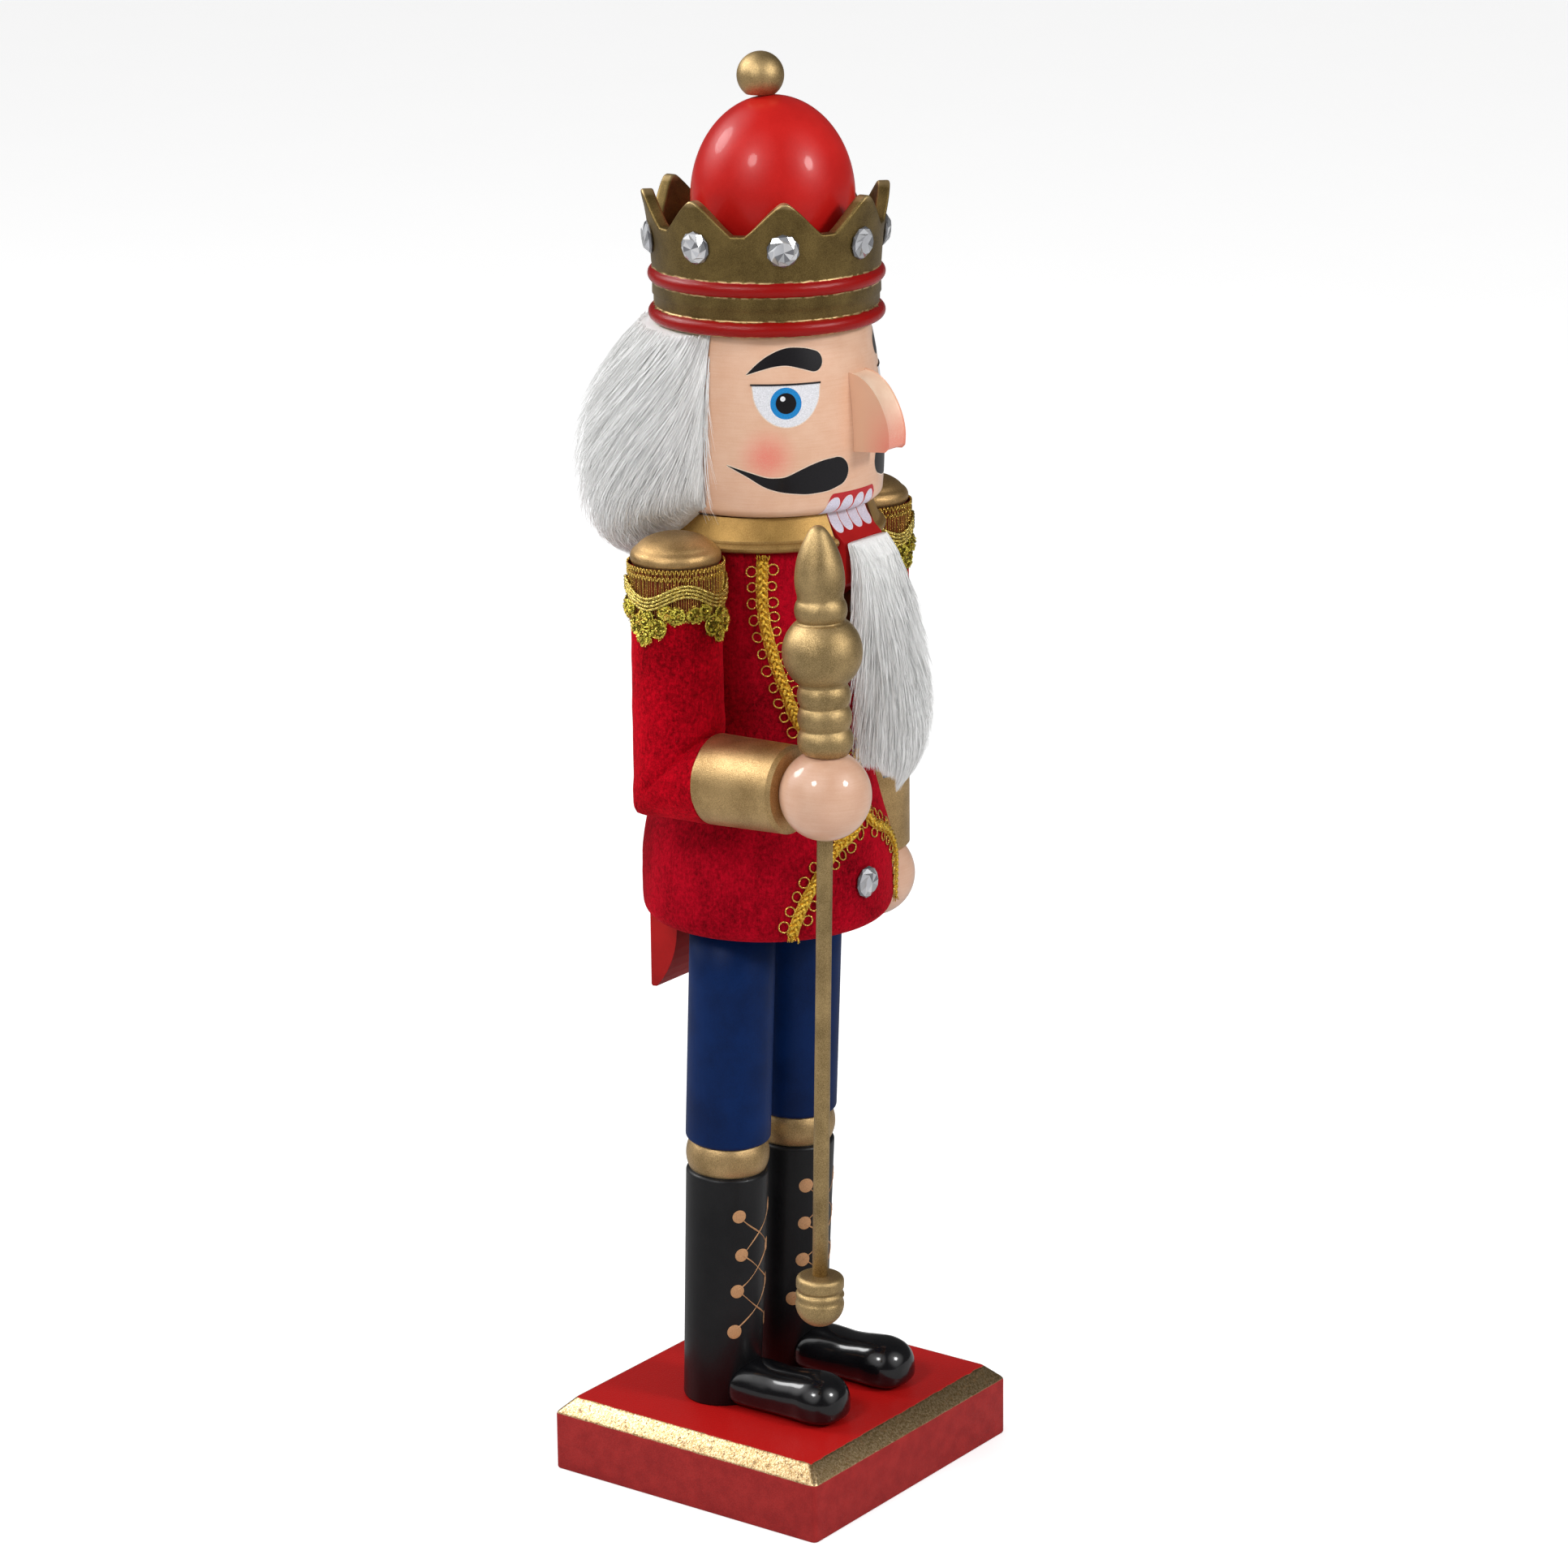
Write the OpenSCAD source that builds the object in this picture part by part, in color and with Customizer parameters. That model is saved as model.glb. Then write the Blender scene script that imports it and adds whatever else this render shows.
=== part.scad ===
// Turned wooden king nutcracker with a lever jaw, a velvet coat and a lift-out sceptre.
// Origin: centre of the base's underside.  +Z is up, the figure faces -Y, its right arm is at -X.

/* [Base] */
// Width of the base plate, side to side
base_w = 83.5; // [80:0.5:90]
// Depth of the base plate, front to back
base_d = 80.8; // [76:0.5:90]
// Height of the straight sides of the base plate
base_side_h = 15.1; // [12:0.5:18]
// Height and width of the sloping edge above the sides
base_bevel = 3.8; // [2:0.5:5]

/* [Legs and shoes] */
// Distance of each leg from the middle
leg_x = 14.1; // [13.5:0.1:16]
// Leg centre on the base plate, front to back
leg_y = 8.2; // [6:0.1:9]
// Lean of the legs towards the front, in degrees
leg_lean = 2.4; // [0:0.1:3]
// Radius of the trousers
leg_r = 10.6; // [9:0.1:11]
// Radius of the boots below the knee ring
boot_r = 10.3; // [9:0.1:11]
// Radius of the boots at the base plate
boot_foot_r = 9.7; // [9:0.1:11]
// Height of the middle of the knee ring
knee_z = 84; // [70:0.1:95]

/* [Body] */
// Body centre, front to back
body_y = 2.6; // [1.5:0.1:3]
// Radius of the coat at the skirt
skirt_r = 30.8; // [30:0.1:32]
// Radius of the coat at the waist
waist_r = 25; // [24:0.1:26]
// Radius of the coat at the chest
chest_r = 27.4; // [26:0.1:27.5]
// Thickness of the velvet
velvet = 1.1; // [0.8:0.1:1.4]

/* [Head and crown] */
// Head and crown centre, front to back
head_y = 1; // [0:0.1:2]
// Widest radius of the head
head_r = 27.9; // [27:0.1:29]
// Number of points and stones on the crown
crown_points = 8; // [6:1:10]
// Height of the crown's points above its notches
crown_notch = 7.8; // [5:0.1:9]

/* [Jaw lever] */
// Width of the lever board
lever_w = 15.6; // [14:0.1:15.8]
// Width of the slot that it swings in
slot_w = 16.6; // [16.4:0.1:17]
// Hinge pin, front to back
pin_y = 2; // [1:0.5:3]
// Hinge pin height
pin_z = 222; // [221:0.5:223]
// Hinge pin radius
pin_r = 2; // [1.5:0.1:2.5]
// Radial clearance of the lever on its pin
pin_gap = 0.06; // [0.03:0.01:0.1]

/* [Arms] */
// Distance of each arm from the middle
arm_x = 38.7; // [38.7:0.1:40]
// Radius of the sleeves
sleeve_r = 10.9; // [10.5:0.1:11]
// Radius of the gold cuffs
cuff_r = 10.9; // [10.5:0.1:11]
// Radius of the ball hands
hand_r = 10.9; // [10:0.1:11.5]
// Height of the raised arm's elbow
forearm_z = 188.3; // [186:0.1:190]
// Rise of the forearm towards the hand, in degrees
forearm_lift = 2.2; // [0:0.1:3]

/* [Sceptre] */
// Radius of the rod
rod_r = 1.9; // [1.6:0.1:2.2]
// Radial clearance of the rod in the hand
rod_gap = 0.06; // [0.03:0.01:0.1]
// Lean of the rod towards the front, in degrees
sceptre_lean = 1.25; // [0:0.05:2]
// Tilt of the sceptre's head back from the rod, in degrees
head_tilt = 3.2; // [0:0.1:4]

/* [Hidden] */
$fn = 64;
e = 0.01;
base_top = base_side_h + base_bevel;
// body heights
hem_z = 144;
skirt_z = 158;
waist_z = 190;
chest_z = 210;
bead_z = 240.8;
mouth_z = 248.9;
wood_bottom = hem_z + 1.8;
leg_top_y = leg_y - (wood_bottom - base_top) * tan(leg_lean);
hem_round = 4;
slot_floor = 212;
tail_wall_y = 24.3;
// head and crown heights
head_top = 292.2;
crown_floor = 6;
notch_z = 316.4;
wall_r = 27.4;
tip_r = 30.1;
wall = 3;
dome_y = -1.1;
dome_top = 345.5;
dome_base = 298.4;
dome_hole_z = 294.6;
egg_mid = 321.5;
dome_r = 19.6;
ball_r = 5.65;
ball_y = 2.2;
ball_z = 355.6 - ball_r;
// arms
arm_wood_r = sleeve_r - velvet;
arm_top = 239;
cap_z = 239.2;
cuff_len = 22.4;
right_cuff_y = -11.6;
left_cuff_z = 173.9;
elbow_z = forearm_z;
hand_reach = 42.9;
hand_y = -hand_reach * cos(forearm_lift);
hand_z = elbow_z + hand_reach * sin(forearm_lift);
left_hand_y = -1.6;
left_hand_z = 144.3;
left_cuff_end = left_cuff_z - cuff_len;
shoulder_z = 231.5;
// fixings
dowel_r = 3;
thin_dowel_r = 2.5;
screw_r = 1.6;
screw_len = 31;
neck_dowel_x = 16.5;
// room left between two glued parts
glue = 0.02;
// room left where a limb hangs beside the body
side_gap = 0.2;
gem_r = 4;

function quarter(cx, cz, r, a0, a1, n = 6) =
    [for (i = [0:n]) let (a = a0 + (a1 - a0) * i / n) [cx + r * cos(a), cz + r * sin(a)]];
function ease(t) = (1 - cos(180 * t)) / 2;
// outer radius of the coat at height z
function coat_r(z) =
    z < skirt_z ? skirt_r :
    z < waist_z ? skirt_r - (skirt_r - waist_r) * ease((z - skirt_z) / (waist_z - skirt_z)) :
    z < chest_z ? waist_r + (chest_r - waist_r) * ease((z - waist_z) / (chest_z - waist_z)) :
    chest_r;
function coat_side(inset) = [for (z = [hem_z + hem_round:4:bead_z - 1]) [coat_r(z) - inset, z]];
function reversed(v) = [for (i = [len(v) - 1:-1:0]) v[i]];

module turned(pts, x = 0, y = 0) translate([x, y, 0]) rotate_extrude($fn = 96) polygon(pts);

// ---- base ----
module base_plate() color("firebrick") difference() {
    hull() {
        translate([-base_w / 2, -base_d / 2, 0]) cube([base_w, base_d, base_side_h]);
        translate([-base_w / 2 + base_bevel, -base_d / 2 + base_bevel, 0])
            cube([base_w - 2 * base_bevel, base_d - 2 * base_bevel, base_top]);
    }
    for (s = [-1, 1]) translate([s * leg_x, leg_y, 0]) {
        translate([0, 0, -1]) cylinder(r = 2, h = base_top + 2);
        translate([0, 0, -e]) cylinder(r1 = 2.6 * screw_r, r2 = 2, h = 2.6);
    }
}
module base_screws() color("silver") for (s = [-1, 1]) translate([s * leg_x, leg_y, 0]) {
    difference() {
        union() {
            translate([0, 0, 0.5]) cylinder(r1 = 3.6, r2 = screw_r, h = 2.2);
            translate([0, 0, 2.6]) cylinder(r = screw_r, h = screw_len);
            translate([0, 0, 2.6 + screw_len - e]) cylinder(r1 = screw_r, r2 = 0.2, h = 3);
        }
        for (a = [0, 90]) rotate(a) translate([-1.8, -0.4, 0.4]) cube([3.6, 0.8, 1.1]);
    }
}

// ---- legs and shoes ----
module leg_at(s) {
    knee = knee_z - base_top;
    boot_top = knee - 3.9;
    trouser = knee + 3.9;
    difference() {
        intersection() {
            translate([s * leg_x, leg_y, base_top]) rotate([leg_lean, 0, 0])
                turned(concat([[0, -1], [boot_foot_r, -1], [boot_foot_r, 0]],
                    quarter(boot_r - 1, boot_top - 1, 1, 0, 80),
                    quarter(leg_r - 8.2, knee, 8, -28, 28, 8),
                    quarter(leg_r - 1.2, trouser + 1.2, 1.2, -80, 0),
                    [[leg_r, wood_bottom - base_top + 1], [0, wood_bottom - base_top + 1]]));
            translate([-60, -60, base_top]) cube([120, 120, wood_bottom - 0.1 - base_top]);
        }
        translate([s * leg_x, leg_y, base_top - 1]) cylinder(r = screw_r, h = 20);
        translate([s * leg_x, leg_top_y, wood_bottom - 16]) cylinder(r = dowel_r, h = 17);
    }
}
module right_leg() color("midnightblue") leg_at(-1);
module left_leg() color("midnightblue") leg_at(1);
module leg_dowels() color("burlywood") for (s = [-1, 1])
    translate([s * leg_x, leg_top_y, wood_bottom - 15]) cylinder(r = dowel_r, h = 29);

// A slipper with a round toe, a shallow saddle and a round heel, cut to fit the boot
module shoe() difference() {
    union() {
        hull() {
            translate([0, -21.8, 4.6]) scale([1, 1, 0.96]) sphere(r = 7.7, $fn = 32);
            translate([0, -21.4, 0.1]) cylinder(r = 7, h = 2, $fn = 32);
            translate([0, -15, 3.8]) sphere(r = 6.6, $fn = 32);
        }
        hull() {
            translate([0, -4, 3.6]) sphere(r = 7.5, $fn = 32);
            translate([0, -13, 3.7]) sphere(r = 6.7, $fn = 32);
            translate([0, -8, 0.1]) cylinder(r = 6.9, h = 2, $fn = 32);
        }
    }
    translate([-20, -60, -20]) cube([40, 80, 20]);
    translate([0, leg_y, 0]) rotate([leg_lean, 0, 0]) translate([0, 0, -1])
        cylinder(r1 = boot_foot_r + 0.1, r2 = boot_r + 0.1, h = 58);
}
module right_shoe() color("black") translate([-leg_x, 0, base_top]) shoe();
module left_shoe() color("black") translate([leg_x, 0, base_top]) shoe();

// ---- body ----
// Side outline of the slot for the lever, open at the front, the back and the top
module slot_cut(w) rotate([90, 0, 90]) linear_extrude(w, center = true)
    polygon([[-60, slot_floor], [pin_y + 6, slot_floor], [tail_wall_y, 199],
        [tail_wall_y, hem_z - 20], [60, hem_z - 20], [60, mouth_z + 10], [-60, mouth_z + 10]]);

// Hollows where the left arm and hand hang beside the skirt, and the caps beside the collar
module side_hollows() {
    translate([arm_x, 0, left_cuff_end - 1])
        cylinder(r = cuff_r + side_gap, h = cuff_len + 14);
    translate([arm_x, left_hand_y, left_hand_z]) sphere(r = hand_r + side_gap, $fn = 96);
    for (s = [-1, 1]) translate([s * arm_x, 0, arm_top]) cylinder(r = cuff_r, h = 12);
}
// Holes for the shoulder dowels
module shoulder_holes(r) for (s = [-1, 1])
    translate([s * 13, 0, shoulder_z]) rotate([0, s * 90, 0]) cylinder(r = r, h = 20);
module torso() color("goldenrod") difference() {
    turned(concat([[0, wood_bottom]],
        quarter(skirt_r - velvet - 3, wood_bottom + 3, 3, -90, 0),
        [for (p = coat_side(velvet)) if (p[1] > wood_bottom + 4) p],
        [[chest_r - velvet, bead_z]],
        quarter(28.4, bead_z + 1.1, 1.1, -90, 90),
        [[28, bead_z + 2.6], [25.9, mouth_z - 0.2], [0, mouth_z - 0.2]]), 0, body_y);
    slot_cut(slot_w);
    translate([-30, pin_y, pin_z]) rotate([0, 90, 0]) cylinder(r = pin_r, h = 60);
    for (s = [-1, 1]) {
        translate([s * neck_dowel_x, head_y, mouth_z - 11]) cylinder(r = thin_dowel_r, h = 14);
        translate([s * leg_x, leg_top_y, wood_bottom - 1]) cylinder(r = dowel_r, h = 16);
    }
    shoulder_holes(dowel_r);
    side_hollows();
}
module coat() color("crimson") difference() {
    turned(concat(quarter(skirt_r - hem_round, hem_z + hem_round, hem_round, -90, 0),
        coat_side(0), [[chest_r, bead_z - 0.1], [chest_r - velvet + glue, bead_z - 0.1]],
        reversed([for (p = coat_side(velvet - glue)) if (p[1] > wood_bottom + 4) p]),
        reversed(quarter(skirt_r - velvet - 3, wood_bottom + 3, 3 + glue, -90, 0)),
        [[skirt_r - hem_round, wood_bottom - 0.1]]), 0, body_y);
    slot_cut(slot_w + 0.6);
    shoulder_holes(dowel_r + side_gap);
    side_hollows();
}

// ---- jaw lever, one board from chin to tail ----
module jaw_lever() color("red") difference() {
    rotate([90, 0, 90]) linear_extrude(lever_w, center = true) polygon(concat(
        [[-21.6, mouth_z - 0.4], [-22.6, 246.4], [-24.8, 243.6], [-26.6, 242]],
        [[-27.2, 240], [-27.2, 232], [-26.4, 231], [-22, 230], [-5, 216.5]],
        [[pin_y, 215], [pin_y + 6, 215.4], [25.1, 203]], quarter(49.1, 137, 24, 180, 223.5),
        [[33, 120.3], [33.4, 120.8], [33.4, 214], [28, 219], [10, 240], [4, mouth_z - 0.4]]));
    translate([-30, pin_y, pin_z]) rotate([0, 90, 0]) cylinder(r = pin_r + pin_gap, h = 60);
}
module lever_pin() color("silver") translate([-24, pin_y, pin_z]) rotate([0, 90, 0])
    cylinder(r = pin_r - glue, h = 48);
// Beard: a soft pelt glued to the front of the chin and hanging over the chest
beard_rings = [[240.9, -28.9, 7.2, 1.6], [236, -31.2, 9, 4], [227, -32.6, 10.2, 5.3],
    [217, -33.8, 11.2, 6.4], [205, -34.8, 12, 7.2], [193, -34.4, 12, 6.8], [186, -34.2, 9.6, 5.2],
    [182, -34, 5, 3]];
module beard() color("white") for (i = [0:len(beard_rings) - 2]) hull()
    for (r = [beard_rings[i], beard_rings[i + 1]])
        translate([0, r[1], r[0]]) scale([r[2], r[3], 1]) cylinder(r = 1, h = 0.2, $fn = 32);

// ---- head ----
module head() color("bisque") difference() {
    turned(concat([[0, mouth_z], [23.4, mouth_z]], quarter(24.6, mouth_z + 3, 3, -80, -20, 4),
        [for (z = [mouth_z + 5:3:head_top - 1]) [head_r - 0.0037 * (z - 262) * (z - 262), z]],
        [[24.5, head_top], [0, head_top]]), 0, head_y);
    for (s = [-1, 1])
        translate([s * neck_dowel_x, head_y, mouth_z - 1]) cylinder(r = thin_dowel_r, h = 12);
    translate([0, head_y, head_top - 9]) cylinder(r = dowel_r, h = 10);
}
module head_dowels() color("burlywood") for (s = [-1, 1])
    translate([s * neck_dowel_x, head_y, mouth_z - 10.5]) cylinder(r = thin_dowel_r, h = 20);
// Nose: a flat board with a curved front, glued to the face
module nose() color("bisque") difference() {
    rotate([90, 0, 90]) linear_extrude(7, center = true)
        polygon([[-20, 282], [-25.4, 282], [-28.4, 281], [-31.4, 278.8], [-33.8, 275.6],
            [-35.5, 272], [-36.4, 268.4], [-36.2, 264.8], [-27, 263.6], [-20, 263.6]]);
    turned([[0, 240], [head_r + 0.05, 240], [head_r + 0.05, 264],
        for (z = [264:3:286]) [head_r + 0.05 - 0.0037 * (z - 262) * (z - 262), z], [0, 286]],
        0, head_y);
}
// Hair: fur round the back of the head, from ear to ear
hair_rings = [[291.6, 1], [287, 5.5], [282, 9], [276, 12], [269, 14.4], [262, 15.4],
    [254, 15.2], [247, 13.8], [240, 11.4], [235, 8.4], [232.6, 5]];
function hair_in(z) = z > mouth_z + 4 ? head_r + 0.15 - 0.0037 * (z - 262) * (z - 262)
    : 30.6;
module hair() color("whitesmoke") difference() {
    translate([0, head_y, 0]) rotate([0, 0, -3]) rotate_extrude(angle = 186, $fn = 64)
        polygon(concat([for (r = hair_rings) [27.8 + r[1], r[0]]],
            reversed([for (r = hair_rings) [min(hair_in(r[0]), 27.7 + r[1]), r[0]]])));
    for (s = [-1, 1]) translate([s * arm_x, 0, 225]) cylinder(r = 13.4, h = 24.4);
    translate([0, body_y, 225]) cylinder(r = 30.4, h = 23);
    translate([-9, 0, 200]) cube([18, 60, 38.5]);
}

// ---- crown ----
module crown_dowel() color("burlywood") translate([0, head_y, head_top - 8.5])
    cylinder(r = dowel_r, h = 10.4);
// One V between two points, widest at the top, with a blunt bottom
module notch() rotate([90, 0, 0]) linear_extrude(30) polygon([
    [-1.6, notch_z], [1.6, notch_z], [3, notch_z + 0.7], [9.4, notch_z + crown_notch - 1.3],
    [11.3, notch_z + crown_notch - 0.3], [11.9, notch_z + 12], [-11.9, notch_z + 12],
    [-11.3, notch_z + crown_notch - 0.3], [-9.4, notch_z + crown_notch - 1.3],
    [-3, notch_z + 0.7]]);
module crown() color("darkgoldenrod") difference() {
    turned(concat([[0, head_top + 0.1], [26.6, head_top + 0.1]],
        quarter(26.6, head_top + 1.9, 1.8, -80, 80),
        [[26.7, 296.4], [27, 297.4], [27, 301.4]], quarter(26.6, 303.4, 1.8, -60, 60),
        [[wall_r, 305.6], [wall_r + 0.7, 312], [tip_r - 0.4, notch_z + crown_notch],
         [tip_r - 1, notch_z + crown_notch + 0.5], [tip_r - wall, notch_z + crown_notch + 0.5],
         [wall_r - wall, 308], [wall_r - wall - 0.6, head_top + crown_floor],
         [0, head_top + crown_floor]]), 0, head_y);
    for (i = [0:crown_points - 1]) translate([0, head_y, 0])
        rotate((i + 0.5) * 360 / crown_points) notch();
    translate([0, head_y, head_top - 1]) cylinder(r = dowel_r, h = 3.1);
    translate([0, dome_y, dome_hole_z]) cylinder(r = thin_dowel_r, h = 5);
}
// A round cut stone: a low cone with a flat table, its back flat
module stone() rotate([90, 0, 0]) {
    cylinder(r = gem_r, h = 0.6);
    translate([0, 0, 0.6 - e]) cylinder(r1 = gem_r, r2 = gem_r * 0.55, h = 1.5);
}
module crown_gems() color("lightcyan") for (i = [0:crown_points - 1])
    translate([0, head_y, 0]) rotate(i * 360 / crown_points)
        translate([0, -wall_r - 0.9, 312.8]) rotate([7, 0, 0]) stone();
module dome_dowel() color("burlywood") translate([0, dome_y, dome_hole_z + 0.3])
    cylinder(r = thin_dowel_r, h = 12);
// Dome: an egg, pointed end up
function egg_r(z) = z > egg_mid
    ? dome_r * sqrt(max(0, 1 - pow((z - egg_mid) / (dome_top - egg_mid), 2)))
    : dome_r * sqrt(1 - pow((egg_mid - z) / 34, 2));
module crown_dome() color("red") difference() {
    turned(concat([[0, dome_base], [egg_r(dome_base), dome_base]],
        [for (z = [301:3:340]) [egg_r(z), z]],
        [for (a = [52:8:84]) [dome_r * cos(a), egg_mid + (dome_top - egg_mid) * sin(a)]],
        [[0, dome_top]]), 0, dome_y);
    translate([0, dome_y, dome_base - 1]) cylinder(r = thin_dowel_r, h = 10);
}
module crown_ball() color("darkgoldenrod") difference() {
    translate([0, ball_y, ball_z]) sphere(r = ball_r, $fn = 64);
    translate([-10, -10, ball_z - 12]) cube([20, 30, 12 - ball_z + dome_top + 0.05]);
}

// ---- arms ----
module shoulder_dowels() color("burlywood") for (s = [-1, 1])
    translate([s * 14, 0, shoulder_z]) rotate([0, s * 90, 0]) cylinder(r = dowel_r, h = 18);
mitre = 45 + forearm_lift / 2;
forearm_end = -right_cuff_y + cuff_len;
// The elbow's mitre plane, its normal along the third axis
module at_elbow() translate([0, 0, elbow_z]) rotate([-mitre, 0, 0]) children();
// The forearm's axis, starting at the elbow, along the third axis
module on_forearm() translate([0, 0, elbow_z]) rotate([90 - forearm_lift, 0, 0]) children();
// A round bar bent by a mitre: upright above the cut, forward below it
module upper_bar(r, top) intersection() {
    translate([0, 0, elbow_z - 30]) cylinder(r = r, h = top - elbow_z + 30);
    at_elbow() translate([-30, -30, 0.05]) cube([60, 90, 90]);
}
module fore_bar(r, length) intersection() {
    on_forearm() translate([0, 0, -30]) cylinder(r = r, h = length + 30);
    at_elbow() translate([-30, -60, -90.05]) cube([60, 90, 90]);
}
module right_upper_arm() color("burlywood") translate([-arm_x, 0, 0]) difference() {
    upper_bar(arm_wood_r, arm_top);
    translate([-7, 0, shoulder_z]) rotate([0, 90, 0]) cylinder(r = dowel_r, h = 27);
    at_elbow() translate([0, 0, -2]) cylinder(r = thin_dowel_r, h = 9);
}
module right_forearm() color("goldenrod") translate([-arm_x, 0, 0]) difference() {
    union() {
        fore_bar(arm_wood_r, -right_cuff_y + 0.1);
        on_forearm() translate([0, 0, -right_cuff_y])
            cylinder(r1 = cuff_r, r2 = cuff_r - 0.3, h = cuff_len - 1);
        on_forearm() translate([0, 0, forearm_end - 1 - e])
            cylinder(r1 = cuff_r - 0.3, r2 = cuff_r - 1.1, h = 1 + e);
    }
    at_elbow() translate([0, 0, -8]) cylinder(r = thin_dowel_r, h = 10);
    on_forearm() translate([0, 0, forearm_end - 8]) cylinder(r = thin_dowel_r, h = 10);
}
module elbow_dowel() color("burlywood") translate([-arm_x, 0, 0]) at_elbow()
    translate([0, 0, -7]) cylinder(r = thin_dowel_r, h = 13);
// Velvet wrapped round the two halves of the bent arm, with a seam at the elbow
module right_sleeve() color("crimson") translate([-arm_x, 0, 0]) {
    difference() {
        upper_bar(sleeve_r, arm_top);
        translate([0, 0, elbow_z - 40]) cylinder(r = arm_wood_r + glue, h = 100);
        translate([0, 0, shoulder_z]) rotate([0, 90, 0]) cylinder(r = dowel_r + side_gap, h = 20);
    }
    difference() {
        fore_bar(sleeve_r, -right_cuff_y - 0.1);
        on_forearm() translate([0, 0, -40]) cylinder(r = arm_wood_r + glue, h = 80);
    }
}
module left_arm() color("goldenrod") translate([arm_x, 0, 0]) difference() {
    union() {
        translate([0, 0, left_cuff_z - e]) cylinder(r = arm_wood_r, h = arm_top - left_cuff_z);
        translate([0, 0, left_cuff_end + 1]) cylinder(r = cuff_r, h = cuff_len - 1);
        translate([0, 0, left_cuff_end]) cylinder(r1 = cuff_r - 0.8, r2 = cuff_r, h = 1 + e);
    }
    translate([-20, 0, shoulder_z]) rotate([0, 90, 0]) cylinder(r = dowel_r, h = 27);
    translate([0, 0, left_cuff_end - 1]) cylinder(r = thin_dowel_r, h = 9);
}
module left_sleeve() color("crimson") translate([arm_x, 0, 0]) difference() {
    translate([0, 0, left_cuff_z + 0.1]) cylinder(r = sleeve_r, h = arm_top - left_cuff_z - 0.1);
    translate([0, 0, left_cuff_z - 1]) cylinder(r = arm_wood_r + glue, h = 80);
    translate([-20, 0, shoulder_z]) rotate([0, 90, 0]) cylinder(r = dowel_r + side_gap, h = 20);
}

// ---- hands ----
// The sceptre's own frame: its axis runs through the right hand, leaning forward
module on_sceptre() translate([-arm_x, hand_y, hand_z]) rotate([sceptre_lean, 0, 0]) children();
hand_flat = hand_r - 0.9;
module right_hand() color("bisque") difference() {
    translate([-arm_x, hand_y, hand_z]) sphere(r = hand_r, $fn = 96);
    on_sceptre() translate([0, 0, -20]) cylinder(r = rod_r + rod_gap, h = 40);
    on_sceptre() translate([-10, -10, hand_flat]) cube([20, 20, 10]);
    translate([-arm_x, 0, 0]) on_forearm() translate([0, 0, forearm_end - 19.9])
        cylinder(r = 20, h = 20);
    translate([-arm_x, 0, 0]) on_forearm() translate([0, 0, forearm_end - 2])
        cylinder(r = thin_dowel_r, h = 8);
}
module right_hand_dowel() color("burlywood") translate([-arm_x, 0, 0]) on_forearm()
    translate([0, 0, forearm_end - 7.5]) cylinder(r = thin_dowel_r, h = 12.6);
module left_hand() color("bisque") difference() {
    translate([arm_x, left_hand_y, left_hand_z]) sphere(r = hand_r, $fn = 96);
    translate([0, -30, left_cuff_end - 0.1]) cube([60, 60, 20]);
    translate([arm_x, 0, left_cuff_end - 8]) cylinder(r = thin_dowel_r, h = 10);
}
module left_hand_dowel() color("burlywood") translate([arm_x, 0, left_cuff_end - 7.5])
    cylinder(r = thin_dowel_r, h = 15);

// ---- shoulders ----
module cap_at(s) turned(concat([[0, cap_z]], quarter(8.4, cap_z + 2.4, 2.4, -90, 60),
    [[6, cap_z + 7.2], [2, cap_z + 7.9], [0, cap_z + 8]]), s * arm_x, 0);
module right_shoulder_cap() color("darkgoldenrod") cap_at(-1);
module left_shoulder_cap() color("darkgoldenrod") cap_at(1);
// Ribbon round the top of the sleeve with a row of hanging petals, open towards the body
ribbon_t = 1.3;
petal_count = 7;
petal_h = 5.5;
ribbon_from = 38;
ribbon_to = 322;
module epaulette_at(s) translate([s * arm_x, 0, 0]) rotate(s > 0 ? 180 : 0) difference() {
    rotate(ribbon_from) rotate_extrude(angle = ribbon_to - ribbon_from, $fn = 64)
        translate([sleeve_r + 0.1, 240.6 - 16.6]) square([ribbon_t, 16.6]);
    for (i = [1:petal_count - 1])
        rotate(ribbon_from + i * (ribbon_to - ribbon_from) / petal_count)
            translate([sleeve_r - 2, -1.6, 223]) cube([6, 3.2, petal_h + 1]);
}
module right_epaulette() color("goldenrod") epaulette_at(-1);
module left_epaulette() color("goldenrod") epaulette_at(1);

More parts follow.
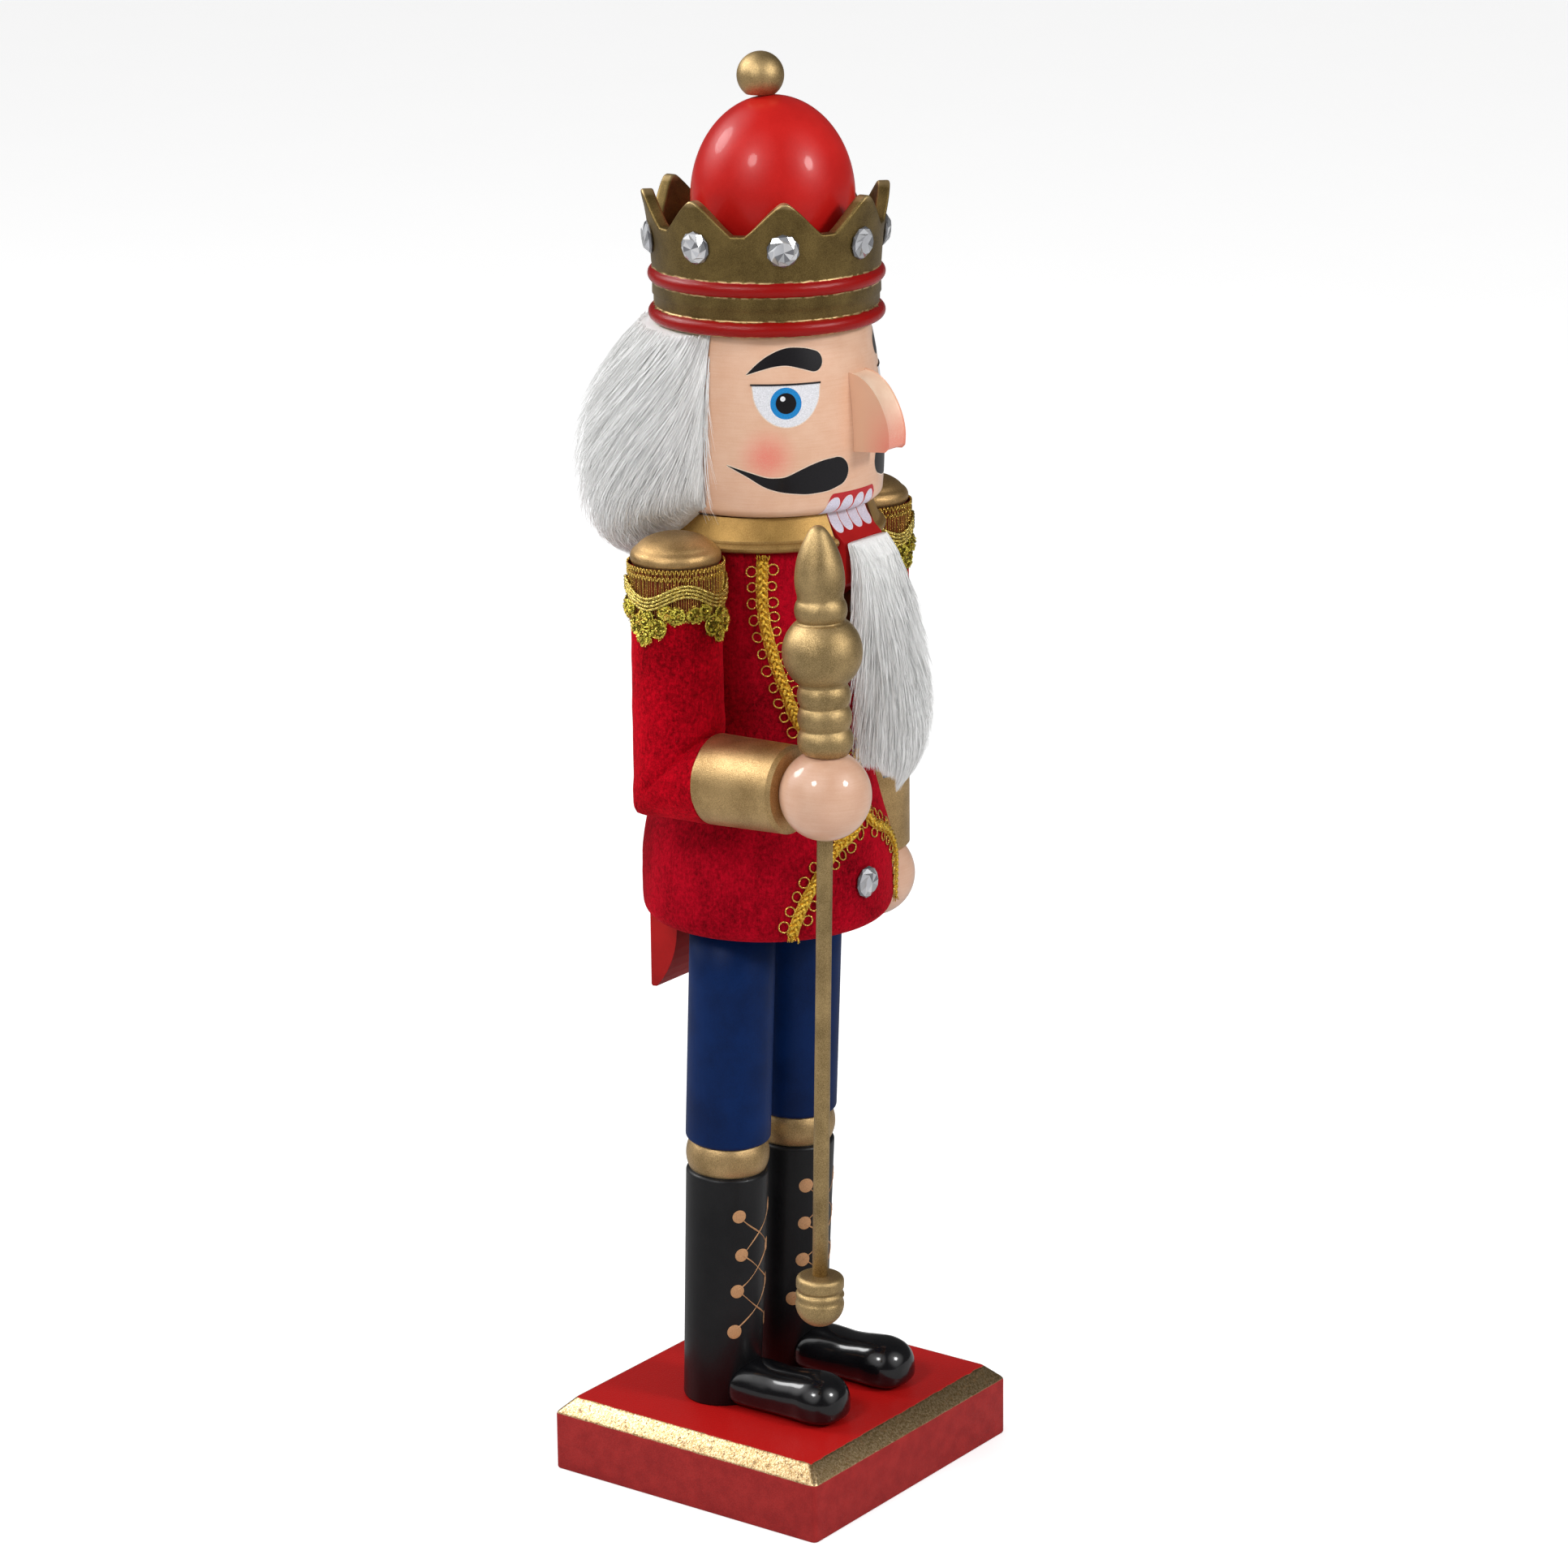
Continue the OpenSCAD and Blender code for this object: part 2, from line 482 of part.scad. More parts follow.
// ---- braid ----
// Route of the braid on the coat: degrees from the front, and height
braid_route = [[54.5, 238.5], [55, 230], [53.5, 223], [49.5, 215], [44, 207], [36, 198],
    [20, 192], [6, 187], [3.6, 180], [3.6, 173], [10, 169.4], [20, 167], [28, 162.5],
    [36, 156], [41, 150], [43, 147.5]];
braid_w = 2.6;
braid_t = 0.9;
function on_coat(s, a, z, lift) =
    [-s * (coat_r(z) + lift) * sin(a), body_y - (coat_r(z) + lift) * cos(a), z];
function steer(v, i) = let (d = v[min(i + 1, len(v) - 1)] - v[max(i - 1, 0)],
    m = [d[0] * 0.48, d[1]]) [-m[1], m[0]] / norm(m);
module braid_at(s) {
    n = len(braid_route);
    pts = [for (i = [0:n - 1]) let (p = braid_route[i], k = steer(braid_route, i) * braid_w / 2)
        each [for (c = [[-1, 0.45], [1, 0.45], [1, 0.45 + braid_t], [-1, 0.45 + braid_t]])
            on_coat(s, p[0] + c[0] * k[0] / 0.48, p[1] + c[0] * k[1], c[1])]];
    sides = [for (i = [0:n - 2], j = [0:3]) let (a = 4 * i + j, b = 4 * i + (j + 1) % 4)
        each [[a, b, b + 4], [a, b + 4, a + 4]]];
    ends = [[2, 1, 0], [3, 2, 0], [4 * n - 4, 4 * n - 3, 4 * n - 2], [4 * n - 4, 4 * n - 2, 4 * n - 1]];
    faces = concat(sides, ends);
    polyhedron(pts, s > 0 ? faces : [for (f = faces) [f[2], f[1], f[0]]]);
}
module right_braid() color("gold") braid_at(1);
module left_braid() color("gold") braid_at(-1);
module coat_gem() color("lightcyan") translate([0, body_y - skirt_r - 0.3, 156.7]) stone();

// ---- sceptre ----
head_seat = hand_flat + 0.15;
foot_z = -133.6;
// Three bands, a ball, a collar and an egg, tilted back a little on a flat seat
module sceptre_head() color("darkgoldenrod") on_sceptre() difference() {
    translate([0, 0, head_seat + 0.4]) rotate([-head_tilt, 0, 0]) rotate_extrude($fn = 96)
        polygon(concat([[0, -1.2], [5.2, -1.2]], quarter(2.2, 2.8, 4.4, -40, 36, 8),
            quarter(1.4, 8.2, 5, -31, 31), quarter(1.5, 13.5, 4.8, -33, 33),
            quarter(0, 23.9, 9.4, -49, 49, 10), quarter(1.6, 33.8, 4.6, -35, 34),
            [[5.4, 37.2], [5.85, 39.8], [5.8, 42.4], [5.3, 45.4], [4.4, 48.2], [3.1, 50.9],
             [1.9, 52.8], [0.9, 53.6], [0, 53.8]]));
    translate([-10, -10, head_seat - 10]) cube([20, 20, 10]);
    translate([0, 0, head_seat - 1]) cylinder(r = rod_r, h = 13);
}
module sceptre_rod() color("darkgoldenrod") on_sceptre()
    translate([0, 0, foot_z + 7]) cylinder(r = rod_r, h = head_seat + 11.5 - foot_z - 7);
// A round bulb with a band above it
module sceptre_foot() color("darkgoldenrod") on_sceptre() difference() {
    translate([0, 0, foot_z]) rotate_extrude($fn = 96) polygon(concat(
        [[0, 0]], quarter(0, 5.9, 5.9, -84, 0, 8), quarter(4.8, 8, 1.1, 0, 50, 5),
        quarter(4.5, 10.4, 1.3, -60, 0, 5), quarter(4.4, 11.6, 1.4, 0, 80, 5),
        [[3.4, 13], [0, 13]]));
    translate([0, 0, foot_z + 6.9]) cylinder(r = rod_r, h = 10);
}

base_plate();
base_screws();
right_shoe();
left_shoe();
right_leg();
left_leg();
leg_dowels();
torso();
coat();
jaw_lever();
lever_pin();
beard();
head_dowels();
head();
nose();
hair();
crown_dowel();
crown();
crown_gems();
dome_dowel();
crown_dome();
crown_ball();
shoulder_dowels();
right_upper_arm();
right_forearm();
elbow_dowel();
right_sleeve();
left_arm();
left_sleeve();
right_hand();
left_hand();
right_hand_dowel();
left_hand_dowel();
right_shoulder_cap();
left_shoulder_cap();
right_epaulette();
left_epaulette();
right_braid();
left_braid();
coat_gem();
sceptre_head();
sceptre_rod();
sceptre_foot();
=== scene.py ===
import math
import random

import bpy
from mathutils import Matrix, Vector, noise
from mathutils.geometry import tessellate_polygon


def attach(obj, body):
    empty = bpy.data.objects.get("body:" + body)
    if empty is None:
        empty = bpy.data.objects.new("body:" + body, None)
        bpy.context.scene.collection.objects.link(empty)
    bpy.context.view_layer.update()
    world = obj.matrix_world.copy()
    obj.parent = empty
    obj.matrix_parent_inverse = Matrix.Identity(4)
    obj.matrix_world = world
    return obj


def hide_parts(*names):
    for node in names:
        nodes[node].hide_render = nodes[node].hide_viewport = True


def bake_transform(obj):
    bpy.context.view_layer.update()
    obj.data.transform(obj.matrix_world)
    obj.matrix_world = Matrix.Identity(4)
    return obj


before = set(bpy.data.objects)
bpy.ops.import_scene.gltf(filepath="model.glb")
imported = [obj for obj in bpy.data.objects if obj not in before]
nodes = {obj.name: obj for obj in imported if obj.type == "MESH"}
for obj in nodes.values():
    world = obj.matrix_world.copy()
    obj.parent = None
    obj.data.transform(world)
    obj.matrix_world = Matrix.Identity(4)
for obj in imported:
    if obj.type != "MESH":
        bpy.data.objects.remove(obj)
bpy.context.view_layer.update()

# Sizes are millimetres and degrees, as in the CAD source, unless a comment says metres.
MM = 0.001
FLOOR_HALF = 6000

# Base and legs.
BASE_X = 83.5
BASE_Y = 80.8
BASE_TOP = 18.9
LEG_X = 14.1
LEG_Y = 8.2
LEG_R = 10.6
LEG_LEAN = 2.4
LEG_TOP = 145.7
BOOT_R = 10.3
BOOT_FOOT_R = 9.7
KNEE_Z = 84.0

# Body and coat.
BODY_Y = 2.6
HEM_Z = 144.0
CHEST_R = 27.4
SLOT_HALF = 8.6
SLOT_FLOOR = 212.0

# Arms and sceptre.
ARM_X = 38.7
SLEEVE_R = 10.9
SLEEVE_SEG = 96
SLEEVE_TOP = 239.0
SLEEVE_END = 11.7
ELBOW_Z = 188.3
ARM_LIFT = 2.2
HAND = Vector((-38.7, -42.87, 189.95))
LEAN = 1.25
HEAD_TILT = 3.2

# Head: CHEEK is the middle of the blush, IRIS is degrees from the front and height.
HEAD_Y = 1.0
CROWN_RINGS = (294.2, 303.5)
CHEEK = (22.66, -15.3, 263.9)
IRIS = (44.7, 276.7)
MM_PER_DEGREE = 0.478
LID_Z = 281.0

# Directions of the three lights from the figure's middle.
BACK_LIGHT = (-0.22, 0.77, 0.60)
LEFT_LIGHT = (-0.77, -0.02, 0.64)
FRONT_LIGHT = (0.10, -0.84, 0.52)

# Metres: height lit by the lights, welding distance, thickness of the velvet.
FIGURE_MIDDLE = 0.19
WELD = 0.00002
CLOTH = 0.0010


# ---------------------------------------------------------------- mesh tools
class Mesh:
    """Points in millimetres and faces, each face with the number of its material."""

    def __init__(self):
        self.points = []
        self.faces = []
        self.slots = []
        self.flat = []

    def add(self, points, faces, slot=0, flat=False):
        base = len(self.points)
        self.points.extend(points)
        for face in faces:
            self.faces.append([base + i for i in face])
            self.slots.append(slot)
            self.flat.append(flat)

    def lay(self, rows, closed=True, flip=False, slot=0, ends=False):
        """A surface through equal rows of points, with its two ends closed or open."""
        points, faces = grid(rows, closed, flip)
        if ends:
            n = len(rows[0])
            step = 1 if flip else -1
            faces.append(list(range(n))[::step])
            faces.append([(len(rows) - 1) * n + j for j in range(n)][::-step])
        self.add(points, faces, slot)

    def build(self, name, materials, body, slot=None, replaces=()):
        data = bpy.data.meshes.new(name)
        points = [(p[0] * MM, p[1] * MM, p[2] * MM) for p in self.points]
        data.from_pydata(points, [], self.faces)
        for m in materials:
            data.materials.append(m)
        for poly, s, flat in zip(data.polygons, self.slots, self.flat):
            poly.material_index = s
            poly.use_smooth = not flat
        data.update()
        obj = bpy.data.objects.new(name, data)
        bpy.context.scene.collection.objects.link(obj)
        if body:
            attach(obj, body)
        if replaces:
            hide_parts(*replaces)
        return obj


def modify(obj, kind, **settings):
    """Adds a modifier."""
    mod = obj.modifiers.new(kind.lower(), kind)
    for key, value in settings.items():
        setattr(mod, key, value)


def circle(n):
    """Cosine and sine of n even steps round a circle."""
    steps = [2 * math.pi * j / n for j in range(n)]
    return [(math.cos(a), math.sin(a)) for a in steps]


def arc(cx, cz, r, a0, a1, n=12):
    steps = [math.radians(a0 + (a1 - a0) * i / n) for i in range(n + 1)]
    return [(cx + r * math.cos(a), cz + r * math.sin(a)) for a in steps]


def spline(points, n=8, closed=False):
    """A smooth curve through points of any dimension."""
    out = []
    count = len(points)
    spans = count if closed else count - 1
    for i in range(spans):
        near = [i - 1, i, i + 1, i + 2]
        if closed:
            near = [k % count for k in near]
        else:
            near = [min(max(k, 0), count - 1) for k in near]
        p = [points[k] for k in near]
        for j in range(n):
            t = j / n
            out.append(tuple(
                0.5 * (2 * b + (c - a) * t + (2 * a - 5 * b + 4 * c - d) * t * t
                       + (3 * b - a - 3 * c + d) * t ** 3)
                for a, b, c, d in zip(*p)))
    if not closed:
        out.append(tuple(points[-1]))
    return out


def grid(rows, closed=True, flip=False):
    """Faces joining equal rows of points."""
    n = len(rows[0])
    faces = []
    for i in range(len(rows) - 1):
        for j in range(n if closed else n - 1):
            k = (j + 1) % n
            face = [i * n + j, i * n + k, (i + 1) * n + k, (i + 1) * n + j]
            faces.append(face[::-1] if flip else face)
    return [p for row in rows for p in row], faces


def turned(mesh, profile, x=0.0, y=0.0, slot=0, seg=144, place=None):
    """A turned shape: profile is (radius, height) from bottom to top."""
    rows = []
    for r, z in profile:
        row = [Vector((r * c, r * s, z)) for c, s in circle(seg)]
        rows.append([place @ p if place else p + Vector((x, y, 0)) for p in row])
    points, faces = grid(rows)
    if callable(slot):
        heights = [z for _, z in profile]
        for i in range(len(rows) - 1):
            part = faces[i * seg:(i + 1) * seg]
            own = sorted({k for f in part for k in f})
            index = {k: m for m, k in enumerate(own)}
            mid = (heights[i] + heights[i + 1]) / 2
            mesh.add([points[k] for k in own], [[index[k] for k in f] for f in part], slot(mid))
    else:
        mesh.add(points, faces, slot)


def tube(mesh, path, radius, sides=8, slot=0, closed=False):
    """A round wire along path. radius is a number or one number per point."""
    pts = [Vector(p) for p in path]
    n = len(pts)
    radii = radius if hasattr(radius, "__len__") else [radius] * n
    rows = []
    normal = None
    for i in range(n):
        ahead = pts[(i + 1) % n] if closed else pts[min(i + 1, n - 1)]
        behind = pts[i - 1] if closed else pts[max(i - 1, 0)]
        t = (ahead - behind).normalized()
        if normal is None:
            normal = t.orthogonal().normalized()
        normal = (normal - t * normal.dot(t)).normalized()
        side = t.cross(normal)
        rows.append([pts[i] + (normal * c + side * s) * radii[i] for c, s in circle(sides)])
    if closed:
        rows.append(rows[0])
    mesh.lay(rows, slot=slot, ends=not closed)


def side_name(side):
    return "right" if side < 0 else "left"


def ease(t):
    t = min(max(t, 0.0), 1.0)
    return (1 - math.cos(math.pi * t)) / 2


def coat_r(z):
    """Radius of the coat's outside at height z."""
    if z < 158:
        return 30.8
    if z < 190:
        return 30.8 - 5.8 * ease((z - 158) / 32)
    if z < 210:
        return 25 + 2.4 * ease((z - 190) / 20)
    return CHEST_R


def head_r(z):
    if z < 251:
        return 24.6 + math.sqrt(max(9 - (251.9 - z) ** 2, 0))
    return 27.9 - 0.0037 * (z - 262) ** 2


def on_head(a, z, lift=0.0):
    """A point on the head: a is degrees from the front towards the right ear."""
    r = head_r(z) + lift
    t = math.radians(a)
    return Vector((-r * math.sin(t), HEAD_Y - r * math.cos(t), z))


def on_coat(a, z, lift=0.0):
    t = math.radians(a)
    r = coat_r(z) + lift
    return Vector((-r * math.sin(t), BODY_Y - r * math.cos(t), z))


# ---------------------------------------------------------------- materials
class Paint:
    """A Principled material with small helpers for its nodes."""

    def __init__(self, name, rough, metal=0.0, coat=0.0, coat_rough=0.03, shine=0.5):
        self.mat = bpy.data.materials.new(name)
        self.mat.use_nodes = True
        self.tree = self.mat.node_tree
        self.bsdf = self.tree.nodes["Principled BSDF"]
        self.put("Roughness", rough)
        self.put("Metallic", metal)
        self.put("Coat Weight", coat)
        self.put("Coat Roughness", coat_rough)
        self.put("Specular IOR Level", shine)
        self.coords = None

    def put(self, socket, value):
        """Sets a socket of the shader, or links an output to it."""
        if isinstance(value, bpy.types.NodeSocket):
            self.tree.links.new(value, self.bsdf.inputs[socket])
        else:
            self.bsdf.inputs[socket].default_value = value

    def node(self, kind, inputs=None, **settings):
        n = self.tree.nodes.new(kind)
        for key, value in settings.items():
            setattr(n, key, value)
        for key, value in (inputs or {}).items():
            if isinstance(value, bpy.types.NodeSocket):
                self.tree.links.new(value, n.inputs[key])
            else:
                n.inputs[key].default_value = value
        return n

    def place(self, scale=(1, 1, 1)):
        """Object coordinates in millimetres, stretched by scale."""
        if self.coords is None:
            self.coords = self.node("ShaderNodeTexCoord").outputs["Object"]
        size = [1000 * s for s in scale]
        n = self.node("ShaderNodeVectorMath", {0: self.coords, 1: size}, operation="MULTIPLY")
        return n.outputs[0]

    def noise(self, scale, detail=3.0, rough=0.55, stretch=(1, 1, 1)):
        """Noise with about `scale` lumps per millimetre."""
        inputs = {"Vector": self.place(stretch), "Scale": scale, "Detail": detail,
                  "Roughness": rough}
        return self.node("ShaderNodeTexNoise", inputs).outputs["Fac"]

    def math(self, kind, a, b=0.0):
        return self.node("ShaderNodeMath", {0: a, 1: b}, operation=kind).outputs[0]

    def sum(self, a, share_a, b, share_b):
        return self.math("ADD", self.math("MULTIPLY", a, share_a),
                         self.math("MULTIPLY", b, share_b))

    def span(self, value, low, high, out_low=0.0, out_high=1.0):
        """value stretched from low..high to out_low..out_high, held at both ends."""
        inputs = {"Value": value, "From Min": low, "From Max": high, "To Min": out_low,
                  "To Max": out_high}
        return self.node("ShaderNodeMapRange", inputs).outputs["Result"]

    def mix(self, fac, a, b):
        """a where fac is 0, b where it is 1. Both are colours."""
        n = self.node("ShaderNodeMix", data_type="RGBA")
        for socket, value in ((n.inputs[0], fac), (n.inputs[6], a), (n.inputs[7], b)):
            if isinstance(value, bpy.types.NodeSocket):
                self.tree.links.new(value, socket)
            elif hasattr(value, "__len__"):
                socket.default_value = (*value[:3], 1)
            else:
                socket.default_value = value
        return n.outputs[2]

    def bump(self, height, depth=0.1, strength=1.0, under=None):
        """A bump of `depth` millimetres."""
        inputs = {"Height": height, "Strength": strength, "Distance": depth * MM}
        if under is not None:
            inputs["Normal"] = under
        out = self.node("ShaderNodeBump", inputs).outputs[0]
        self.put("Normal", out)
        return out

    def axis(self, k):
        """The point's place along axis k in millimetres: 0 is across, 2 is its height."""
        return self.node("ShaderNodeSeparateXYZ", {0: self.place()}).outputs[k]

    def near(self, point, inner, outer):
        """1 within inner millimetres of point or its mirror image, falling to 0 at outer."""
        x = self.math("ABSOLUTE", self.axis(0))
        joined = self.node("ShaderNodeCombineXYZ", {0: x, 1: self.axis(1), 2: self.axis(2)})
        far = self.node("ShaderNodeVectorMath", {0: joined.outputs[0], 1: point},
                        operation="DISTANCE").outputs["Value"]
        n = self.node("ShaderNodeMapRange", {"Value": far, "From Min": outer, "From Max": inner},
                      interpolation_type="SMOOTHSTEP")
        return n.outputs["Result"]


def gold_paint(name, light, dark, rough=0.4, metal=0.85, grain=4.0):
    """Brushed-on metallic paint with fine flakes and slightly darker patches."""
    p = Paint(name, rough, metal=metal)
    patch = p.noise(0.12, 4)
    flakes = p.noise(grain, 2, 0.8)
    tone = p.span(p.sum(patch, 0.45, flakes, 0.6),
                  0.4, 0.66)
    p.put("Base Color", p.mix(tone, dark, light))
    p.put("Roughness", p.span(flakes, 0.35, 0.65, rough + 0.12, rough - 0.04))
    fine = p.bump(flakes, 0.09, 0.8)
    p.bump(p.noise(0.5, 3, 0.5), 0.12, 0.35, fine)
    return p.mat


def gloss_paint(name, light, dark, rough=0.24, coat=0.6, grain=0.35, depth=0.06,
                stretch=(1, 1, 1), shine=0.5):
    """Sprayed gloss paint over wood: small tone changes and a soft waviness."""
    p = Paint(name, rough, coat=coat, coat_rough=0.07, shine=shine)
    tone = p.noise(0.08, 4)
    speck = p.noise(3.0, 2, 0.6)
    both = p.sum(tone, 0.7, speck, 0.3)
    p.put("Base Color", p.mix(p.span(both, 0.38, 0.62), dark, light))
    p.put("Roughness", p.span(speck, 0.3, 0.7, rough, rough + 0.1))
    wave = p.bump(p.noise(grain, 3, 0.5, stretch), depth, 0.4)
    p.bump(p.noise(4.0, 2, 0.5), 0.02, 0.5, wave)
    return p.mat


def skin_paint(name, face=False):
    p = Paint(name, 0.42, coat=0.7, coat_rough=0.07, shine=0.35)
    light = (0.85, 0.54, 0.375)
    dark = (0.79, 0.46, 0.30)
    # The hands get a darker copy of the face's skin colours: painted shade.
    if not face:
        light = (0.76, 0.475, 0.33)
        dark = (0.70, 0.40, 0.265)
    mottle = p.noise(0.15, 4)
    grain = p.noise(1.2, 3, 0.6, (0.12, 0.12, 2.2))
    speck = p.noise(4.0, 2, 0.6)
    both = p.sum(mottle, 0.5, grain, 0.3)
    both = p.math("ADD", both, p.math("MULTIPLY", speck, 0.2))
    color = p.mix(p.span(both, 0.4, 0.6), dark, light)
    if face:
        cheek = p.near(CHEEK, 0.0, 8.6)
        soft = p.math("MULTIPLY", cheek, p.span(p.noise(3.5, 2, 0.6), 0.2, 0.6, 0.5, 0.85))
        color = p.mix(soft, color, (0.86, 0.19, 0.14))
    p.put("Base Color", color)
    wave = p.bump(grain, 0.05, 0.3)
    p.bump(p.noise(5.0, 2, 0.5), 0.012, 0.4, wave)
    return p.mat


def nose_paint():
    """Skin paint with painted shade on the flat sides, a painted highlight on the pale ridge, and
    pink towards the tip.
    """
    p = Paint("nose_paint", 0.42, coat=0.3, coat_rough=0.12, shine=0.35)
    mottle = p.noise(0.2, 4)
    base = p.mix(p.span(mottle, 0.38, 0.62), (0.88, 0.60, 0.43), (0.96, 0.70, 0.52))
    # The pale ridge colour is a painted highlight, the darker sides painted shade.
    ridge = p.span(p.math("ABSOLUTE", p.axis(0)), 3.45, 3.25)
    base = p.mix(ridge, (0.80, 0.46, 0.30), base)
    low = p.span(p.axis(2), 277.0, 266.0)
    front = p.span(p.axis(1), -29.0, -36.0)
    amount = p.math("MULTIPLY", low, front)
    speckle = p.span(p.noise(4.0, 2, 0.6), 0.3, 0.6, 0.6, 0.95)
    pink = p.math("MULTIPLY", amount, speckle)
    p.put("Base Color", p.mix(pink, base, (0.88, 0.25, 0.18)))
    p.bump(p.noise(4.0, 2, 0.5), 0.02, 0.4)
    return p.mat


def velvet(name, painted_light_gain):
    """Crimson velvet: soft pile, brighter at a glancing angle, brushed patches and lint; the gain
    makes a brighter copy as painted light and a darker copy as painted shade.
    """
    p = Paint(name, 0.9, shine=0.03)
    light = (0.57 * painted_light_gain, 0.003, 0.016)
    dark = (0.14 * painted_light_gain, 0.001, 0.004)
    p.put("Sheen Weight", 0.5)
    p.put("Sheen Roughness", 0.3)
    p.put("Sheen Tint", (1.0, 0.03, 0.05, 1))
    brushed = p.noise(0.07, 4, 0.6, (1, 1, 0.6))
    pile = p.noise(1.0, 4, 0.85)
    ribs = p.noise(1.3, 2, 0.5, (2.2, 2.2, 0.4))
    tone = p.sum(brushed, 0.35, pile, 0.5)
    tone = p.math("ADD", tone, p.math("MULTIPLY", ribs, 0.15))
    color = p.mix(p.span(tone, 0.40, 0.60), dark, light)
    lint = p.span(p.noise(1.6, 4, 0.8), 0.655, 0.72)
    color = p.mix(p.math("MULTIPLY", lint, 0.45), color, (0.78, 0.07, 0.08))
    p.put("Base Color", color)
    p.bump(pile, 0.3, 1.0)
    return p.mat


def fur(name, light, dark):
    p = Paint(name, 0.5, shine=0.15)
    clump = p.noise(0.3, 3, 0.6, (1, 1, 0.35))
    fine = p.noise(3.0, 2, 0.6, (1, 1, 0.25))
    both = p.sum(clump, 0.6, fine, 0.4)
    p.put("Base Color", p.mix(p.span(both, 0.35, 0.62), dark, light))
    return p.mat


def under_fur(name):
    """The mat of fur below the loose strands: streaks that run down."""
    p = Paint(name, 0.8, shine=0.05)
    streak = p.noise(1.6, 3, 0.65, (1, 1, 0.12))
    lump = p.noise(0.12, 3)
    both = p.sum(streak, 0.6, lump, 0.4)
    p.put("Base Color", p.mix(p.span(both, 0.36, 0.62), (0.87, 0.87, 0.86), (0.95, 0.95, 0.945)))
    p.bump(streak, 0.6, 0.7)
    return p.mat


def foil(name, light, dark, rough=0.28):
    """Bright metallic yarn, with the twist of its strands."""
    p = Paint(name, rough, metal=1.0)
    yarn = p.noise(2.2, 2, 0.7, (1, 1, 1.6))
    p.put("Base Color", p.mix(p.span(yarn, 0.38, 0.6), dark, light))
    p.put("Roughness", p.span(yarn, 0.3, 0.7, rough + 0.1, rough - 0.06))
    p.bump(yarn, 0.35, 0.9)
    return p.mat


def base_paint():
    """Red base with a gloss top, satin sides and a gold sloping edge with worn specks; the top is
    painted a brighter red than the sides as painted light and shade.
    """
    p = Paint("base_paint", 0.35, shine=0.25)
    z = p.axis(2)
    x = p.math("ABSOLUTE", p.axis(0))
    y = p.math("ABSOLUTE", p.axis(1))
    wobble = p.math("MULTIPLY", p.math("SUBTRACT", p.noise(0.35, 3), 0.5), 0.9)
    rim_x = p.span(p.math("ADD", x, wobble), 37.75, 37.95)
    rim_y = p.span(p.math("ADD", y, wobble), 36.4, 36.6)
    rim = p.math("MAXIMUM", rim_x, rim_y)
    above = p.span(p.math("ADD", z, p.math("MULTIPLY", wobble, 0.4)), 14.9, 15.1)
    gold = p.math("MULTIPLY", rim, above)
    top = p.span(z, 18.6, 18.75)
    grain = p.sum(p.noise(0.25, 4), 0.6, p.noise(3.0, 2, 0.7), 0.4)
    side = p.mix(p.span(grain, 0.4, 0.6), (0.31, 0.012, 0.012), (0.40, 0.020, 0.018))
    # The top's brighter red over the darker sides is painted light and shade.
    red = p.mix(top, side, (0.50, 0.010, 0.009))
    speck = p.span(p.noise(0.7, 4, 0.85), 0.555, 0.60)
    leaf = p.mix(p.span(p.noise(1.8, 3, 0.7), 0.4, 0.6), (0.34, 0.22, 0.09),
                 (0.68, 0.50, 0.29))
    worn = p.mix(p.math("MULTIPLY", speck, 0.8), leaf, (0.16, 0.085, 0.035))
    p.put("Base Color", p.mix(gold, red, worn))
    p.put("Metallic", p.math("MULTIPLY", gold, p.span(speck, 0.0, 1.0, 1.0, 0.5)))
    p.put("Roughness", p.mix(gold, p.mix(top, (0.6, 0.6, 0.6), (0.28, 0.28, 0.28)),
                             (0.33, 0.33, 0.33)))
    fine = p.bump(p.noise(1.8, 3, 0.7), 0.10, 0.8)
    p.bump(p.noise(0.15, 3), 0.2, 0.25, fine)
    return p.mat


def crown_paint():
    """Dark gold with two glossy red rings; the brush left thin bright lines at their edges."""
    p = Paint("crown_paint", 0.4, shine=0.25)
    z = p.axis(2)
    wobble = p.math("MULTIPLY", p.math("SUBTRACT", p.noise(0.3, 3), 0.5), 0.7)
    wavy = p.math("ADD", z, wobble)
    low = p.math("ABSOLUTE", p.math("SUBTRACT", wavy, CROWN_RINGS[0]))
    high = p.math("ABSOLUTE", p.math("SUBTRACT", wavy, CROWN_RINGS[1]))
    ring = p.math("MINIMUM", low, high)
    red = p.span(ring, 1.75, 1.6)
    line = p.math("MULTIPLY", p.span(ring, 1.6, 1.75), p.span(ring, 2.15, 1.9))
    line = p.math("MULTIPLY", line, p.span(p.noise(0.5, 2), 0.42, 0.52))
    flakes = p.noise(4.0, 2, 0.8)
    patch = p.noise(0.12, 4)
    tone = p.sum(flakes, 0.55, patch, 0.45)
    gold = p.mix(p.span(tone, 0.38, 0.62), (0.11, 0.070, 0.022), (0.27, 0.185, 0.062))
    gold = p.mix(line, gold, (0.66, 0.46, 0.22))
    wear = p.span(p.math("ADD", z, p.math("MULTIPLY", wobble, 2.0)), 322.6, 323.9)
    gold = p.mix(p.math("MULTIPLY", wear, 0.75), gold, (0.62, 0.45, 0.22))
    p.put("Base Color", p.mix(red, gold, (0.31, 0.004, 0.003)))
    p.put("Metallic", p.span(red, 0.0, 1.0, 0.8, 0.0))
    p.put("Roughness", p.span(red, 0.0, 1.0, 0.42, 0.22))
    fine = p.bump(flakes, 0.07, 0.7)
    p.bump(p.noise(0.6, 3), 0.15, 0.35, fine)
    return p.mat


